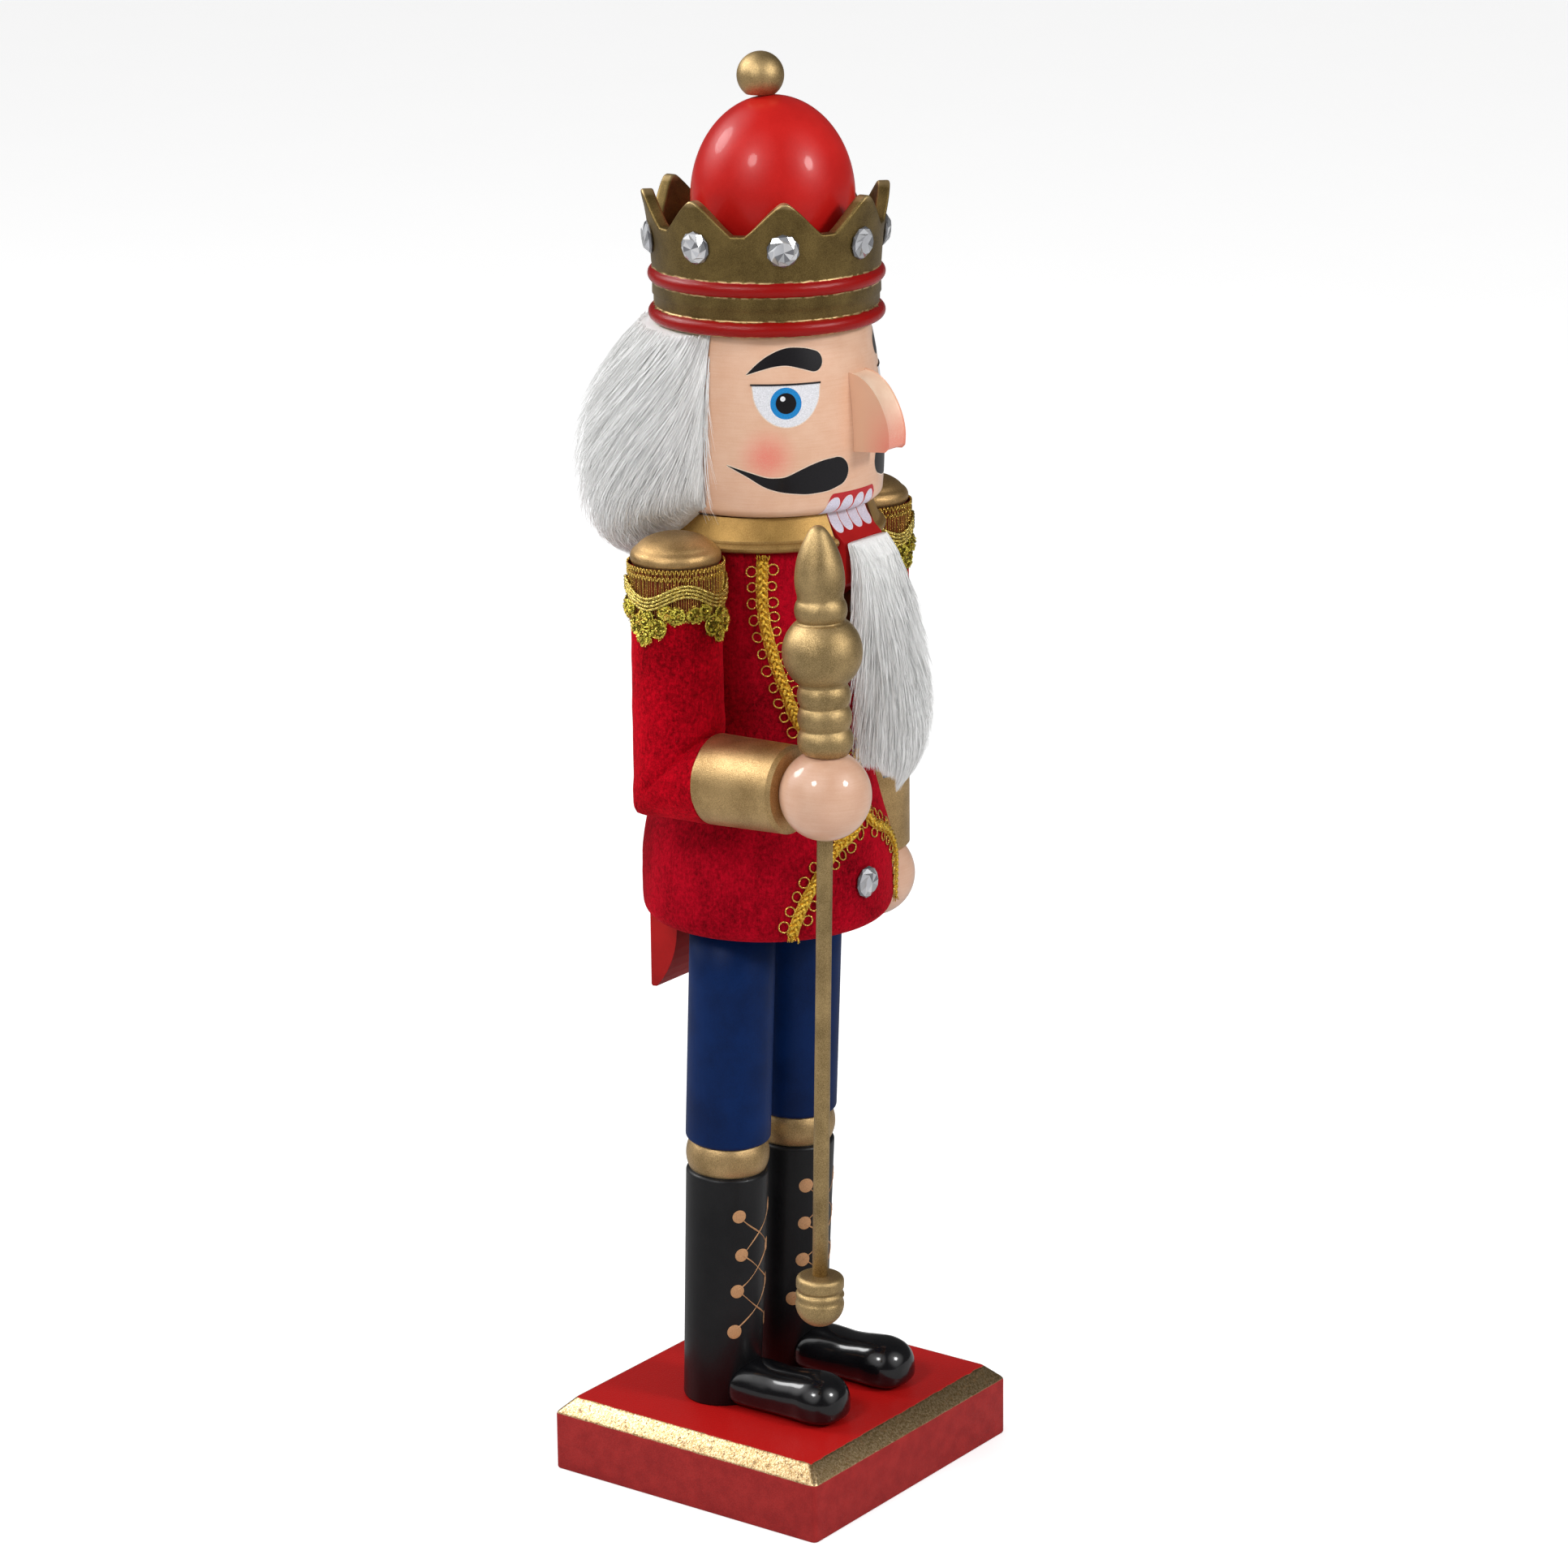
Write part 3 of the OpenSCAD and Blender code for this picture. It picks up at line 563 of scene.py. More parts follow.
def ribbon_cloth():
    """The reddish band below the gold threads of an epaulette."""
    p = Paint("ribbon_cloth", 0.8, shine=0.1)
    weave = p.noise(3.0, 2, 0.6, (1, 1, 2.5))
    tone = p.sum(weave, 0.6, p.noise(0.3, 3), 0.4)
    p.put("Base Color", p.mix(p.span(tone, 0.38, 0.62), (0.07, 0.012, 0.006), (0.27, 0.05, 0.02)))
    p.bump(weave, 0.2, 0.9)
    return p.mat


def plain_wood():
    p = Paint("plain_wood", 0.6)
    rings = p.noise(0.5, 4, 0.6, (1, 1, 0.08))
    p.put("Base Color", p.mix(p.span(rings, 0.35, 0.65), (0.42, 0.25, 0.12), (0.62, 0.42, 0.23)))
    p.bump(rings, 0.1, 0.4)
    return p.mat


def steel():
    p = Paint("steel", 0.35, metal=1.0)
    brushed = p.noise(2.0, 2, 0.6, (1, 1, 0.1))
    p.put("Base Color", p.mix(brushed, (0.42, 0.42, 0.43), (0.6, 0.6, 0.62)))
    p.bump(brushed, 0.02, 0.4)
    return p.mat


def crystal(name, reflection_tone, rough):
    """A facet of a foil-backed stone, its bright or dark tone and noise flashes a painted
    reflection.
    """
    p = Paint(name, rough, metal=0.6, coat=0.8)
    painted_flash = p.noise(0.25, 1, 0.4)
    dim = [c * 0.85 for c in reflection_tone]
    p.put("Base Color", p.mix(p.span(painted_flash, 0.35, 0.65), dim, reflection_tone))
    return p.mat


def ink(name, color, rough=0.4, coat=0.15):
    """Printed paint on the face or the boots."""
    p = Paint(name, rough, coat=coat, coat_rough=0.1, shine=0.25)
    fleck = p.noise(3.5, 2, 0.6)
    soft = [c * 0.85 for c in color]
    bright = [min(c * 1.1 + 0.001, 1) for c in color]
    p.put("Base Color", p.mix(p.span(fleck, 0.35, 0.65), soft, bright))
    p.bump(p.noise(1.2, 3, 0.6, (0.15, 0.15, 2.0)), 0.03, 0.3)
    return p.mat


def torso_paint():
    """Pale gold paint on the collar, bare wood inside the slot."""
    p = Paint("torso_paint", 0.42)
    x = p.math("ABSOLUTE", p.axis(0))
    inside = p.span(x, 8.36, 8.42, 1.0, 0.0)
    flakes = p.noise(4.0, 2, 0.8)
    patch = p.noise(0.15, 4)
    tone = p.sum(flakes, 0.5, patch, 0.5)
    cone = p.mix(p.span(tone, 0.38, 0.62), (0.27, 0.15, 0.035), (0.49, 0.29, 0.08))
    bead = p.mix(p.span(tone, 0.38, 0.62), (0.22, 0.12, 0.032), (0.47, 0.285, 0.09))
    gold = p.mix(p.span(p.axis(2), 243.3, 243.8), bead, cone)
    p.put("Base Color", p.mix(inside, gold, (0.24, 0.12, 0.05)))
    p.put("Metallic", p.span(inside, 0.0, 1.0, 0.6, 0.0))
    p.bump(flakes, 0.07, 0.7)
    return p.mat


GOLD = gold_paint("gold_paint", (0.60, 0.42, 0.195), (0.25, 0.17, 0.07), rough=0.40)
BRONZE = gold_paint("bronze_paint", (0.74, 0.50, 0.23), (0.38, 0.24, 0.095), rough=0.36)
CAP_GOLD = gold_paint("cap_gold", (0.64, 0.41, 0.18), (0.30, 0.18, 0.065), rough=0.36)
KNEE_GOLD = gold_paint("knee_gold", (0.68, 0.46, 0.22), (0.30, 0.195, 0.08), rough=0.34)
RED = gloss_paint("red_gloss", (0.62, 0.013, 0.010), (0.52, 0.008, 0.006), rough=0.30, coat=0.15,
                  shine=0.25)
LEVER_RED = gloss_paint("lever_red", (0.46, 0.008, 0.008), (0.34, 0.005, 0.005), rough=0.5,
                        coat=0.0, shine=0.15)
BLACK = gloss_paint("boot_black", (0.009, 0.009, 0.010), (0.004, 0.004, 0.005), rough=0.36,
                    coat=0.05, grain=0.6, depth=0.08, stretch=(1, 1, 0.25), shine=0.25)
SHOE = gloss_paint("shoe_black", (0.006, 0.006, 0.007), (0.003, 0.003, 0.004), rough=0.16,
                   coat=0.6, grain=0.16, depth=0.12, shine=0.3)
BLUE = gloss_paint("trouser_blue", (0.0012, 0.019, 0.100), (0.0008, 0.012, 0.065), rough=0.42,
                   coat=0.0, grain=0.7, depth=0.10, stretch=(1, 1, 0.12), shine=0.12)
SHADED_HAND_SKIN = skin_paint("hand_skin")
FACE = skin_paint("face_skin", face=True)
NOSE = nose_paint()
# The coat's velvet is a darker copy as painted shade, the sleeves' velvet a brighter copy as
# painted light.
VELVET = velvet("coat_velvet", 0.88)
LIT_SLEEVE_VELVET = velvet("sleeve_velvet", 1.25)
FUR_LIGHT = fur("fur_light", (0.95, 0.95, 0.945), (0.88, 0.88, 0.87))
FUR_GREY = fur("fur_grey", (0.92, 0.92, 0.91), (0.84, 0.84, 0.83))
UNDER_FUR = under_fur("fur_mat")
BRAID = foil("braid_foil", (1.0, 0.70, 0.11), (0.60, 0.31, 0.02), 0.34)
WIRE = foil("wire_gold", (0.95, 0.68, 0.16), (0.62, 0.36, 0.05), 0.25)
CORD = foil("cord_gold", (0.88, 0.72, 0.22), (0.48, 0.33, 0.06), 0.24)
GLITTER = foil("glitter", (1.0, 0.90, 0.17), (0.66, 0.54, 0.06), 0.28)
GLITTER_DARK = foil("glitter_dark", (0.30, 0.24, 0.03), (0.10, 0.075, 0.01), 0.35)
RIBBON = ribbon_cloth()
WOOD = plain_wood()
STEEL = steel()
BASE = base_paint()
CROWN = crown_paint()
TORSO = torso_paint()
INK = ink("ink_black", (0.008, 0.007, 0.009))
OUTLINE = ink("ink_pale", (0.86, 0.66, 0.52))
EYE_WHITE = ink("eye_white", (0.80, 0.80, 0.84))
EYE_BLUE = ink("eye_blue", (0.012, 0.24, 0.60))
EYE_SPOT = ink("eye_spot", (0.85, 0.86, 0.88))
TOOTH = ink("tooth", (0.72, 0.68, 0.80))
TOOTH_RIM = ink("tooth_rim", (0.90, 0.72, 0.74))
LIP = ink("lip_red", (0.52, 0.018, 0.025))
DOT = ink("dot_copper", (0.50, 0.26, 0.12))
# Facet tones from bright to dark, painted as reflections in the stones.
STONES = [crystal("stone_reflection_bright", (0.90, 0.90, 0.92), 0.1),
          crystal("stone_reflection_grey", (0.55, 0.56, 0.58), 0.12),
          crystal("stone_reflection_dark", (0.24, 0.24, 0.26), 0.12),
          crystal("stone_reflection_pale", (0.72, 0.73, 0.77), 0.1)]


def paint_node(name, material):
    data = nodes[name].data
    data.materials.clear()
    data.materials.append(material)


# ---------------------------------------------------------------- camera, light, floor
def camera():
    """Stands at the photograph's viewing angle, fitted to the base, crown and limbs."""
    azimuth = math.radians(-53.84)
    elevation = math.radians(16.08)
    roll = math.radians(-0.57)
    distance = 1.23055
    target = Vector((3.62, 0, 175.51)) * MM
    back = Vector((math.cos(elevation) * math.sin(azimuth),
                   -math.cos(elevation) * math.cos(azimuth), math.sin(elevation)))
    right = Vector((math.cos(azimuth), math.sin(azimuth), 0))
    up = back.cross(right)
    r = right * math.cos(roll) + up * math.sin(roll)
    u = back.cross(r)
    data = bpy.data.cameras.new("camera")
    data.lens = 115.04
    data.sensor_width = 36
    data.clip_start = 0.01
    data.clip_end = 50
    obj = bpy.data.objects.new("camera", data)
    matrix = Matrix((r, u, back)).transposed().to_4x4()
    matrix.translation = target + back * distance
    obj.matrix_world = matrix
    bpy.context.scene.collection.objects.link(obj)
    bpy.context.scene.camera = obj


def soft_box(name, towards, distance, size, power):
    """A round area light in direction `towards` from the figure's middle."""
    data = bpy.data.lights.new(name, "AREA")
    data.shape = "DISK"
    data.size = size
    data.energy = power
    obj = bpy.data.objects.new(name, data)
    way = Vector(towards).normalized()
    obj.location = Vector((0, 0, FIGURE_MIDDLE)) + way * distance
    obj.rotation_euler = way.to_track_quat("Z", "Y").to_euler()
    bpy.context.scene.collection.objects.link(obj)


def studio_world():
    """White light from all round; glossy paint mirrors soft panels round the three lights."""
    world = bpy.data.worlds.new("studio")
    world.use_nodes = True
    tree = world.node_tree
    sky = tree.nodes["Background"]
    sky.inputs[0].default_value = (1, 1, 1, 1)
    way = tree.nodes.new("ShaderNodeTexCoord").outputs["Generated"]
    ray = tree.nodes.new("ShaderNodeLightPath")

    def node(kind, values, **settings):
        n = tree.nodes.new(kind)
        for key, value in settings.items():
            setattr(n, key, value)
        for key, value in values.items():
            if isinstance(value, bpy.types.NodeSocket):
                tree.links.new(value, n.inputs[key])
            else:
                n.inputs[key].default_value = value
        return n

    mirrored = 0.06
    for towards, level in ((BACK_LIGHT, 1.7), (LEFT_LIGHT, 1.1), (FRONT_LIGHT, 1.0)):
        dot = node("ShaderNodeVectorMath", {0: way, 1: Vector(towards).normalized()},
                   operation="DOT_PRODUCT").outputs["Value"]
        panel = node("ShaderNodeMapRange", {"Value": dot, "From Min": 0.80, "From Max": 0.97,
                                            "To Max": level}, interpolation_type="SMOOTHSTEP")
        mirrored = node("ShaderNodeMath", {0: panel.outputs["Result"], 1: mirrored},
                        operation="ADD").outputs[0]
    glossy = ray.outputs["Is Glossy Ray"]
    plain = node("ShaderNodeMapRange", {"Value": glossy, "To Min": 0.46, "To Max": 0.0})
    shine = node("ShaderNodeMath", {0: mirrored, 1: glossy}, operation="MULTIPLY").outputs[0]
    both = node("ShaderNodeMath", {0: plain.outputs["Result"], 1: shine}, operation="ADD")
    tree.links.new(both.outputs[0], sky.inputs[1])
    bpy.context.scene.world = world


def floor():
    """A plain pale floor."""
    p = Paint("floor", 0.9, shine=0.1)
    ray = p.node("ShaderNodeLightPath")
    pale = p.mix(p.noise(0.01, 2), (0.73, 0.73, 0.73), (0.75, 0.75, 0.75))
    p.put("Base Color", p.mix(ray.outputs["Is Glossy Ray"], pale, (0.42, 0.42, 0.42)))
    p.put("Emission Color", (1, 1, 1, 1))
    p.put("Emission Strength", p.span(ray.outputs["Is Camera Ray"], 0.0, 1.0, 0.08, 0.55))
    m = Mesh()
    s = FLOOR_HALF
    m.add([(-s, -s, 0), (s, -s, 0), (s, s, 0), (-s, s, 0)], [[0, 1, 2, 3]])
    m.build("floor", [p.mat], None)


def stage():
    soft_box("light_back", BACK_LIGHT, 1.6, 0.6, 10)
    soft_box("light_left", LEFT_LIGHT, 1.6, 0.34, 7)
    soft_box("light_front", FRONT_LIGHT, 1.7, 0.36, 10.5)
    studio_world()
    bpy.context.scene.view_settings.view_transform = "Standard"
    floor()


# ---------------------------------------------------------------- base, legs, shoes
def rounded_rect(half_x, half_y, r, z, n=5):
    """A row of points round a rectangle with corners of radius r, at height z."""
    row = []
    for k, (sx, sy) in enumerate(((1, 1), (-1, 1), (-1, -1), (1, -1))):
        for a, b in arc(0, 0, r, 90 * k, 90 * k + 90, n):
            row.append(Vector((sx * (half_x - r) + a, sy * (half_y - r) + b, z)))
    return row


def base_plate():
    """A board with a sloping edge and two countersunk screw holes below."""
    m = Mesh()
    hx = BASE_X / 2
    hy = BASE_Y / 2
    steps = [(0.45, 0.0), (0.13, 0.13), (0.0, 0.45), (0.0, 14.6), (0.1, 15.0), (0.4, 15.45),
             (3.45, 18.5), (3.8, 18.8), (4.3, BASE_TOP)]
    rows = [rounded_rect(hx - inset, hy - inset, 1.3, z) for inset, z in steps]
    points, faces = grid(rows)
    n = len(rows[0])
    faces.append([(len(rows) - 1) * n + j for j in range(n)])
    m.add(points, faces)
    rings = [rows[0]]
    for s in (-1, 1):
        cup = []
        for r, z in ((4.2, 0.0), (2.1, 2.6), (2.0, 12.0)):
            cup.append([Vector((s * LEG_X + a, LEG_Y + b, z)) for a, b in arc(0, 0, r, 0, 345, 23)])
        m.lay(cup, flip=True)
        rings.append(cup[0])
    flat = [p for ring in rings for p in ring]
    tris = tessellate_polygon(rings)
    m.add(flat, [list(t)[::-1] for t in tris])
    obj = m.build("base_plate_painted", [BASE], "root", "base_paint", ["base_plate"])
    modify(obj, "WELD", merge_threshold=WELD)


def leg_place(side):
    """Moves a leg's own heights, 0 at the base's top, to where the leg stands."""
    foot = Matrix.Translation((side * LEG_X, LEG_Y, BASE_TOP))
    return foot @ Matrix.Rotation(math.radians(LEG_LEAN), 4, "X")


def leg(side):
    """Boot, knee ring and trousers in one turning, cut level at the base and the coat."""
    name = side_name(side)
    m = Mesh()
    knee = KNEE_Z - BASE_TOP
    boot_top = knee - 3.9
    trouser = knee + 3.9
    profile = [(0.0, -0.7), (BOOT_FOOT_R - 0.3, -0.7), (BOOT_FOOT_R, 0.5), (9.9, 20), (10.1, 40)]
    profile += arc(BOOT_R - 1.0, boot_top - 1.0, 1.0, 0, 80, 8)
    profile += [(BOOT_R - 1.0, boot_top + 0.05)]
    profile += arc(LEG_R - 8.2, knee, 8, -28, 28, 20)
    profile += [(LEG_R - 1.3, trouser - 0.05)]
    profile += arc(LEG_R - 1.2, trouser + 1.2, 1.2, -80, 0, 8)
    profile += [(LEG_R, 90), (LEG_R, 110), (LEG_R, 128), (0.0, 128)]

    def paint(h):
        if h < knee - 3.78:
            return 0
        return 1 if h < knee + 3.78 else 2

    place = leg_place(side)
    turned(m, profile, slot=paint, place=place)
    axis = place.to_3x3() @ Vector((0, 0, 1))
    for i, p in enumerate(m.points):
        clear = min(max(p.z, BASE_TOP), LEG_TOP)
        m.points[i] = p + axis * ((clear - p.z) / axis.z)
    obj = m.build(name + "_leg_painted", [BLACK, KNEE_GOLD, BLUE], "root", "leg_paint",
                  [name + "_leg"])
    modify(obj, "WELD", merge_threshold=WELD)


def on_leg(side, a, h, lift=0.06):
    """A point on a boot: a is degrees from the front, h the height above the base."""
    t = math.radians(a)
    r = BOOT_FOOT_R + (BOOT_R - BOOT_FOOT_R) * min(h / 60, 1) + lift
    return leg_place(side) @ Vector((-r * math.sin(t), -r * math.cos(t), h))


def boot_laces(side):
    """Painted dots in two columns with crossing lines between them."""
    rng = random.Random(5 + side)
    m = Mesh()
    per_mm = math.degrees(1 / 10.1)
    rows = [(35.4, 51.5), (30.2, 41.1), (35.3, 31.4), (38.1, 20.5)]
    if side > 0:
        rows = [(35.0, 51.0), (35.6, 40.8), (36.8, 30.8), (49.6, 20.2)]
    for column, h in rows:
        for s in (-1, 1):
            size = 1.85 * rng.uniform(0.92, 1.04)
            ring = arc(0, 0, size, 0, 345, 23)
            turn = s * column
            points = [on_leg(side, turn, h, 0.14)]
            points += [on_leg(side, turn + a * 0.8 * per_mm, h + b * 0.8, 0.12) for a, b in ring]
            points += [on_leg(side, turn + a * per_mm, h + b, 0.02) for a, b in ring]
            faces = [[0, 1 + (j + 1) % 24, 1 + j] for j in range(24)]
            faces += [[1 + j, 1 + (j + 1) % 24, 25 + (j + 1) % 24, 25 + j] for j in range(24)]
            m.add(points, faces)
    for (from_a, high), (to_a, low) in zip(rows[:-1], rows[1:]):
        for s in (-1, 1):
            path = []
            for i in range(25):
                t = i / 24
                sway = 0.25 * math.sin(7 * t + low)
                turn = s * (from_a + (-to_a - from_a) * t)
                path.append(on_leg(side, turn, high + (low - high) * t + sway, 0.0))
            thin = [0.16 + 0.06 * math.sin(9 * i / 24 + low + s) for i in range(25)]
            tube(m, path, thin, 6)
    name = side_name(side)
    m.build(name + "_boot_laces", [DOT], "root", "leg_paint")


def shoe(side):
    """A slipper: a broad round toe and a lower, rounded heel."""
    stations = [(-29.4, 0.4, 3.6, 5.2), (-29.0, 3.0, 2.0, 7.6), (-27.8, 5.2, 0.8, 9.6),
                (-25.4, 7.0, 0.1, 11.3), (-21.8, 7.7, 0.0, 12.0), (-18.0, 7.4, 0.0, 11.7),
                (-14.5, 7.3, 0.0, 11.2), (-11.0, 7.2, 0.0, 10.9), (-7.5, 7.4, 0.0, 11.0),
                (-4.0, 7.5, 0.0, 11.1), (0.0, 7.3, 0.0, 10.8), (3.0, 6.2, 0.0, 9.5)]
    rows = []
    for y, w, low, high in spline(stations, 5):
        mid = low + (high - low) * 0.4
        row = []
        for c, s in circle(48):
            c = math.copysign(abs(c) ** 0.9, c)
            s = abs(s) ** 0.9 if s > 0 else -abs(s) ** 0.5
            z = mid + (high - mid) * s if s > 0 else mid + (mid - low) * s
            row.append(Vector((side * LEG_X + w * c, y, BASE_TOP + max(z, 0.02))))
        rows.append(row)
    m = Mesh()
    m.lay(rows, ends=True)
    name = side_name(side)
    m.build(name + "_shoe_painted", [SHOE], "root", "shoe_gloss", [name + "_shoe"])


# ---------------------------------------------------------------- coat and sleeves
def arm_hollow(p):
    """Pushes a coat point out of the hollow where the left arm hangs."""
    centre = Vector((ARM_X, 0))
    away = Vector((p.x, p.y)) - centre
    if p.z < 190 and away.length < 11.3:
        away = away.normalized() * 11.3
        return Vector((centre.x + away.x, centre.y + away.y, p.z))
    return p


def cloth_ripple(p, amount):
    lump = noise.noise(p * 0.09) + 0.5 * noise.noise(p * 0.27)
    return amount * lump


def half_coat(m, side):
    """One half of the coat, from the front middle to the slot's edge at the back."""
    heights = [(26.9, HEM_Z + 0.02)]
    heights += arc(26.8, HEM_Z + 4, 4, -84, 0, 8)
    z = HEM_Z + 6
    while z < 240.6:
        heights.append((coat_r(z), z))
        z += 1.6
    heights.append((coat_r(240.6), 240.6))
    edge = math.degrees(math.asin(SLOT_HALF / CHEST_R))
    front = [edge * i / 6 for i in range(6)]
    rest = 56
    rows = []
    for r, z in heights:
        back = 180 - math.degrees(math.asin(min(SLOT_HALF / r, 1)))
        turns = front + [edge + (back - edge) * i / rest for i in range(rest + 1)]
        row = []
        for a in turns:
            t = math.radians(a)
            p = Vector((-side * r * math.sin(t), BODY_Y - r * math.cos(t), z))
            out = Vector((p.x, p.y - BODY_Y, 0)).normalized()
            calm = min(1, (z - HEM_Z) / 4, (back - a) / 6 + 0.2)
            p += out * cloth_ripple(p, 0.22) * max(calm, 0)
            row.append(arm_hollow(p))
        rows.append(row)
    points, faces = grid(rows, closed=False, flip=side > 0)
    n = len(rows[0])
    kept = []
    for i in range(len(rows) - 1):
        for j in range(n - 1):
            if heights[i][1] > SLOT_FLOOR and j < len(front):
                continue
            kept.append(faces[i * (n - 1) + j])
    m.add(points, kept)


def coat():
    """Velvet glued round the body, open at the lever's slot."""
    m = Mesh()
    half_coat(m, 1)
    half_coat(m, -1)
    obj = m.build("coat_velvet", [VELVET], "root", "velvet", ["coat"])
    modify(obj, "WELD", merge_threshold=0.00005)
    modify(obj, "SOLIDIFY", thickness=CLOTH, offset=-1.0)
    return obj


def pinched_r(d):
    """The right sleeve's radius at distance d from the mitre: a pinch, then a puff."""
    pinch = 0.55 * math.exp(-(d / 0.8) ** 2)
    puff = 0.25 * math.exp(-((d - 4) / 3.0) ** 2)
    return SLEEVE_R - pinch + puff


def sleeve_piece(m, name):
    obj = m.build(name + "_sleeve_velvet", [LIT_SLEEVE_VELVET], "root", "velvet", [name + "_sleeve"])
    modify(obj, "SOLIDIFY", thickness=CLOTH, offset=-1.0)
    return obj


def right_sleeve():
    """The bent sleeve, pinched along its mitred elbow."""
    m = Mesh()
    rows = []
    upper = 56
    lower = 26
    lift = math.radians(ARM_LIFT)
    slope = math.cos(lift) / (1 - math.sin(lift))
    way = Vector((0, -math.cos(lift), math.sin(lift)))
    under = Vector((0, -math.sin(lift), -math.cos(lift)))
    for i in range(upper + 1):
        t = (i / upper) ** 0.9
        row = []
        for c, s in circle(SLEEVE_SEG):
            z_end = ELBOW_Z - SLEEVE_R * s * slope
            z = SLEEVE_TOP + (z_end - SLEEVE_TOP) * t
            out = Vector((c, s, 0))
            p = Vector((-ARM_X, 0, z)) + out * pinched_r(z - z_end)
            row.append(p + out * cloth_ripple(p, 0.22))
        rows.append(row)
    for i in range(1, lower + 1):
        t = (i / lower) ** 1.1
        row = []
        for c, s in circle(SLEEVE_SEG):
            start = -SLEEVE_R * s * slope
            d = start + (SLEEVE_END - start) * t
            out = Vector((c, 0, 0)) + under * s
            p = Vector((-ARM_X, 0, ELBOW_Z)) + way * d + out * pinched_r(d - start)
            row.append(p + out * cloth_ripple(p, 0.22))
        rows.append(row)
    m.lay(rows, flip=True)
    return sleeve_piece(m, "right")


def left_sleeve():
    """The straight sleeve of the hanging arm."""
    m = Mesh()
    rows = []
    for i in range(61):
        z = 174.0 + 65.0 * i / 60
        row = []
        for c, s in circle(SLEEVE_SEG):
            out = Vector((c, s, 0))
            p = Vector((ARM_X, 0, z)) + out * SLEEVE_R
            row.append(p + out * cloth_ripple(p, 0.2))
        rows.append(row)
    m.lay(rows)
    return sleeve_piece(m, "left")


# ---------------------------------------------------------------- head and face
def head():
    """A turned block, rounded at its lower edge."""
    m = Mesh()
    profile = [(0.0, 248.9), (23.6, 248.9)] + arc(24.6, 251.9, 3.0, -88, -18, 10)
    z = 251.6
    while z < 292:
        profile.append((head_r(z), z))
        z += 0.8
    profile += [(24.3, 292.1), (0.0, 292.1)]
    turned(m, profile, 0, HEAD_Y, seg=192)
    m.build("head_painted", [FACE], "root", "skin_paint", ["head"])


def stroke(m, spots, mirror, lift, slot, grow=0.0):
    """A painted stroke on the face: spots are (degrees, height, half width), round at its end."""
    line = spline([(a * MM_PER_DEGREE, z, w) for a, z, w in spots], 10)
    last = line[-1]
    before = line[-4]
    way = Vector((last[0] - before[0], last[1] - before[1])).normalized()
    for i in range(1, 11):
        t = math.sin(math.pi / 2 * i / 10)
        w = last[2] * math.sqrt(max(1 - t * t, 0))
        line.append((last[0] + way.x * last[2] * t, last[1] + way.y * last[2] * t, w))
    rows = []
    for i, (s, z, w) in enumerate(line):
        a = line[max(i - 1, 0)]
        b = line[min(i + 1, len(line) - 1)]
        t = Vector((b[0] - a[0], b[1] - a[1])).normalized()
        side = Vector((-t.y, t.x))
        wide = w + (grow if i < len(line) - 1 else 0)
        extra = grow * (i == len(line) - 1)
        row = []
        for k in range(9):
            d = wide * (k / 4 - 1)
            q = Vector((s, z)) + side * d + t * extra
            row.append(on_head(mirror * q.x / MM_PER_DEGREE, q.y, lift))
        rows.append(row)
    m.lay(rows, closed=False, flip=mirror < 0, slot=slot)


def disc(m, a, z, r, mirror, lift, slot):
    """A painted round spot on the face."""
    per_mm = math.degrees(1 / head_r(z))
    rings = [(0.001, lift), (r * 0.5, lift), (r * 0.9, lift), (r, lift - 0.015)]
    rows = []
    for size, up in rings:
        spots = arc(0, 0, size, 0, 352.5, 47)
        rows.append([on_head(mirror * (a + x * per_mm), z + y, up) for x, y in spots])
    m.lay(rows, flip=mirror > 0, slot=slot)


def eye_white(m, mirror, lift, slot, grow=0.0):
    """Half an oval below the lid."""
    rows = []
    for i in range(41):
        x = -1 + 2 * i / 40
        a = 44.1 + (17.6 + grow / 0.47) * x
        low = LID_Z - (9.9 + grow) * math.sqrt(max(1 - x * x, 0))
        row = [on_head(mirror * a, low + (LID_Z - low) * k / 8, lift) for k in range(9)]
        rows.append(row)
    m.lay(rows, closed=False, flip=mirror < 0, slot=slot)


def face_paint():
    """Brows, eyes and moustache, the same on both sides, each with a pale outline."""
    m = Mesh()
    brow = [(64.8, 283.4, 0.03), (57.6, 285.4, 0.95), (50.6, 286.8, 1.55), (43, 287.45, 2.05),
            (35, 286.95, 2.4), (29.0, 286.15, 2.45)]
    moustache = [(74.3, 261.9, 0.03), (64, 259.9, 0.55), (56, 258.15, 1.1), (50.6, 257.5, 1.5),
                 (44.7, 257.3, 2.0), (36.6, 257.8, 3.05), (30, 258.4, 3.6), (24, 258.9, 3.8),
                 (18.6, 259.4, 3.55)]
    for mirror in (1, -1):
        stroke(m, brow, mirror, 0.03, 1, 0.22)
        stroke(m, brow, mirror, 0.05, 0)
        stroke(m, moustache, mirror, 0.03, 1, 0.24)
        stroke(m, moustache, mirror, 0.05, 0)
        eye_white(m, mirror, 0.03, 1, 0.25)
        eye_white(m, mirror, 0.05, 2)
        disc(m, *IRIS, 3.72, mirror, 0.07, 3)
        disc(m, *IRIS, 2.45, mirror, 0.09, 0)
        disc(m, 46.3, 277.8, 0.6, mirror, 0.11, 4)
        lid = [on_head(mirror * (62.6 - 36.6 * i / 24), 281.05, 0.05) for i in range(25)]
        tube(m, lid, 0.24, 6)
    m.build("face_paint", [INK, OUTLINE, EYE_WHITE, EYE_BLUE, EYE_SPOT], "root", "skin_paint")


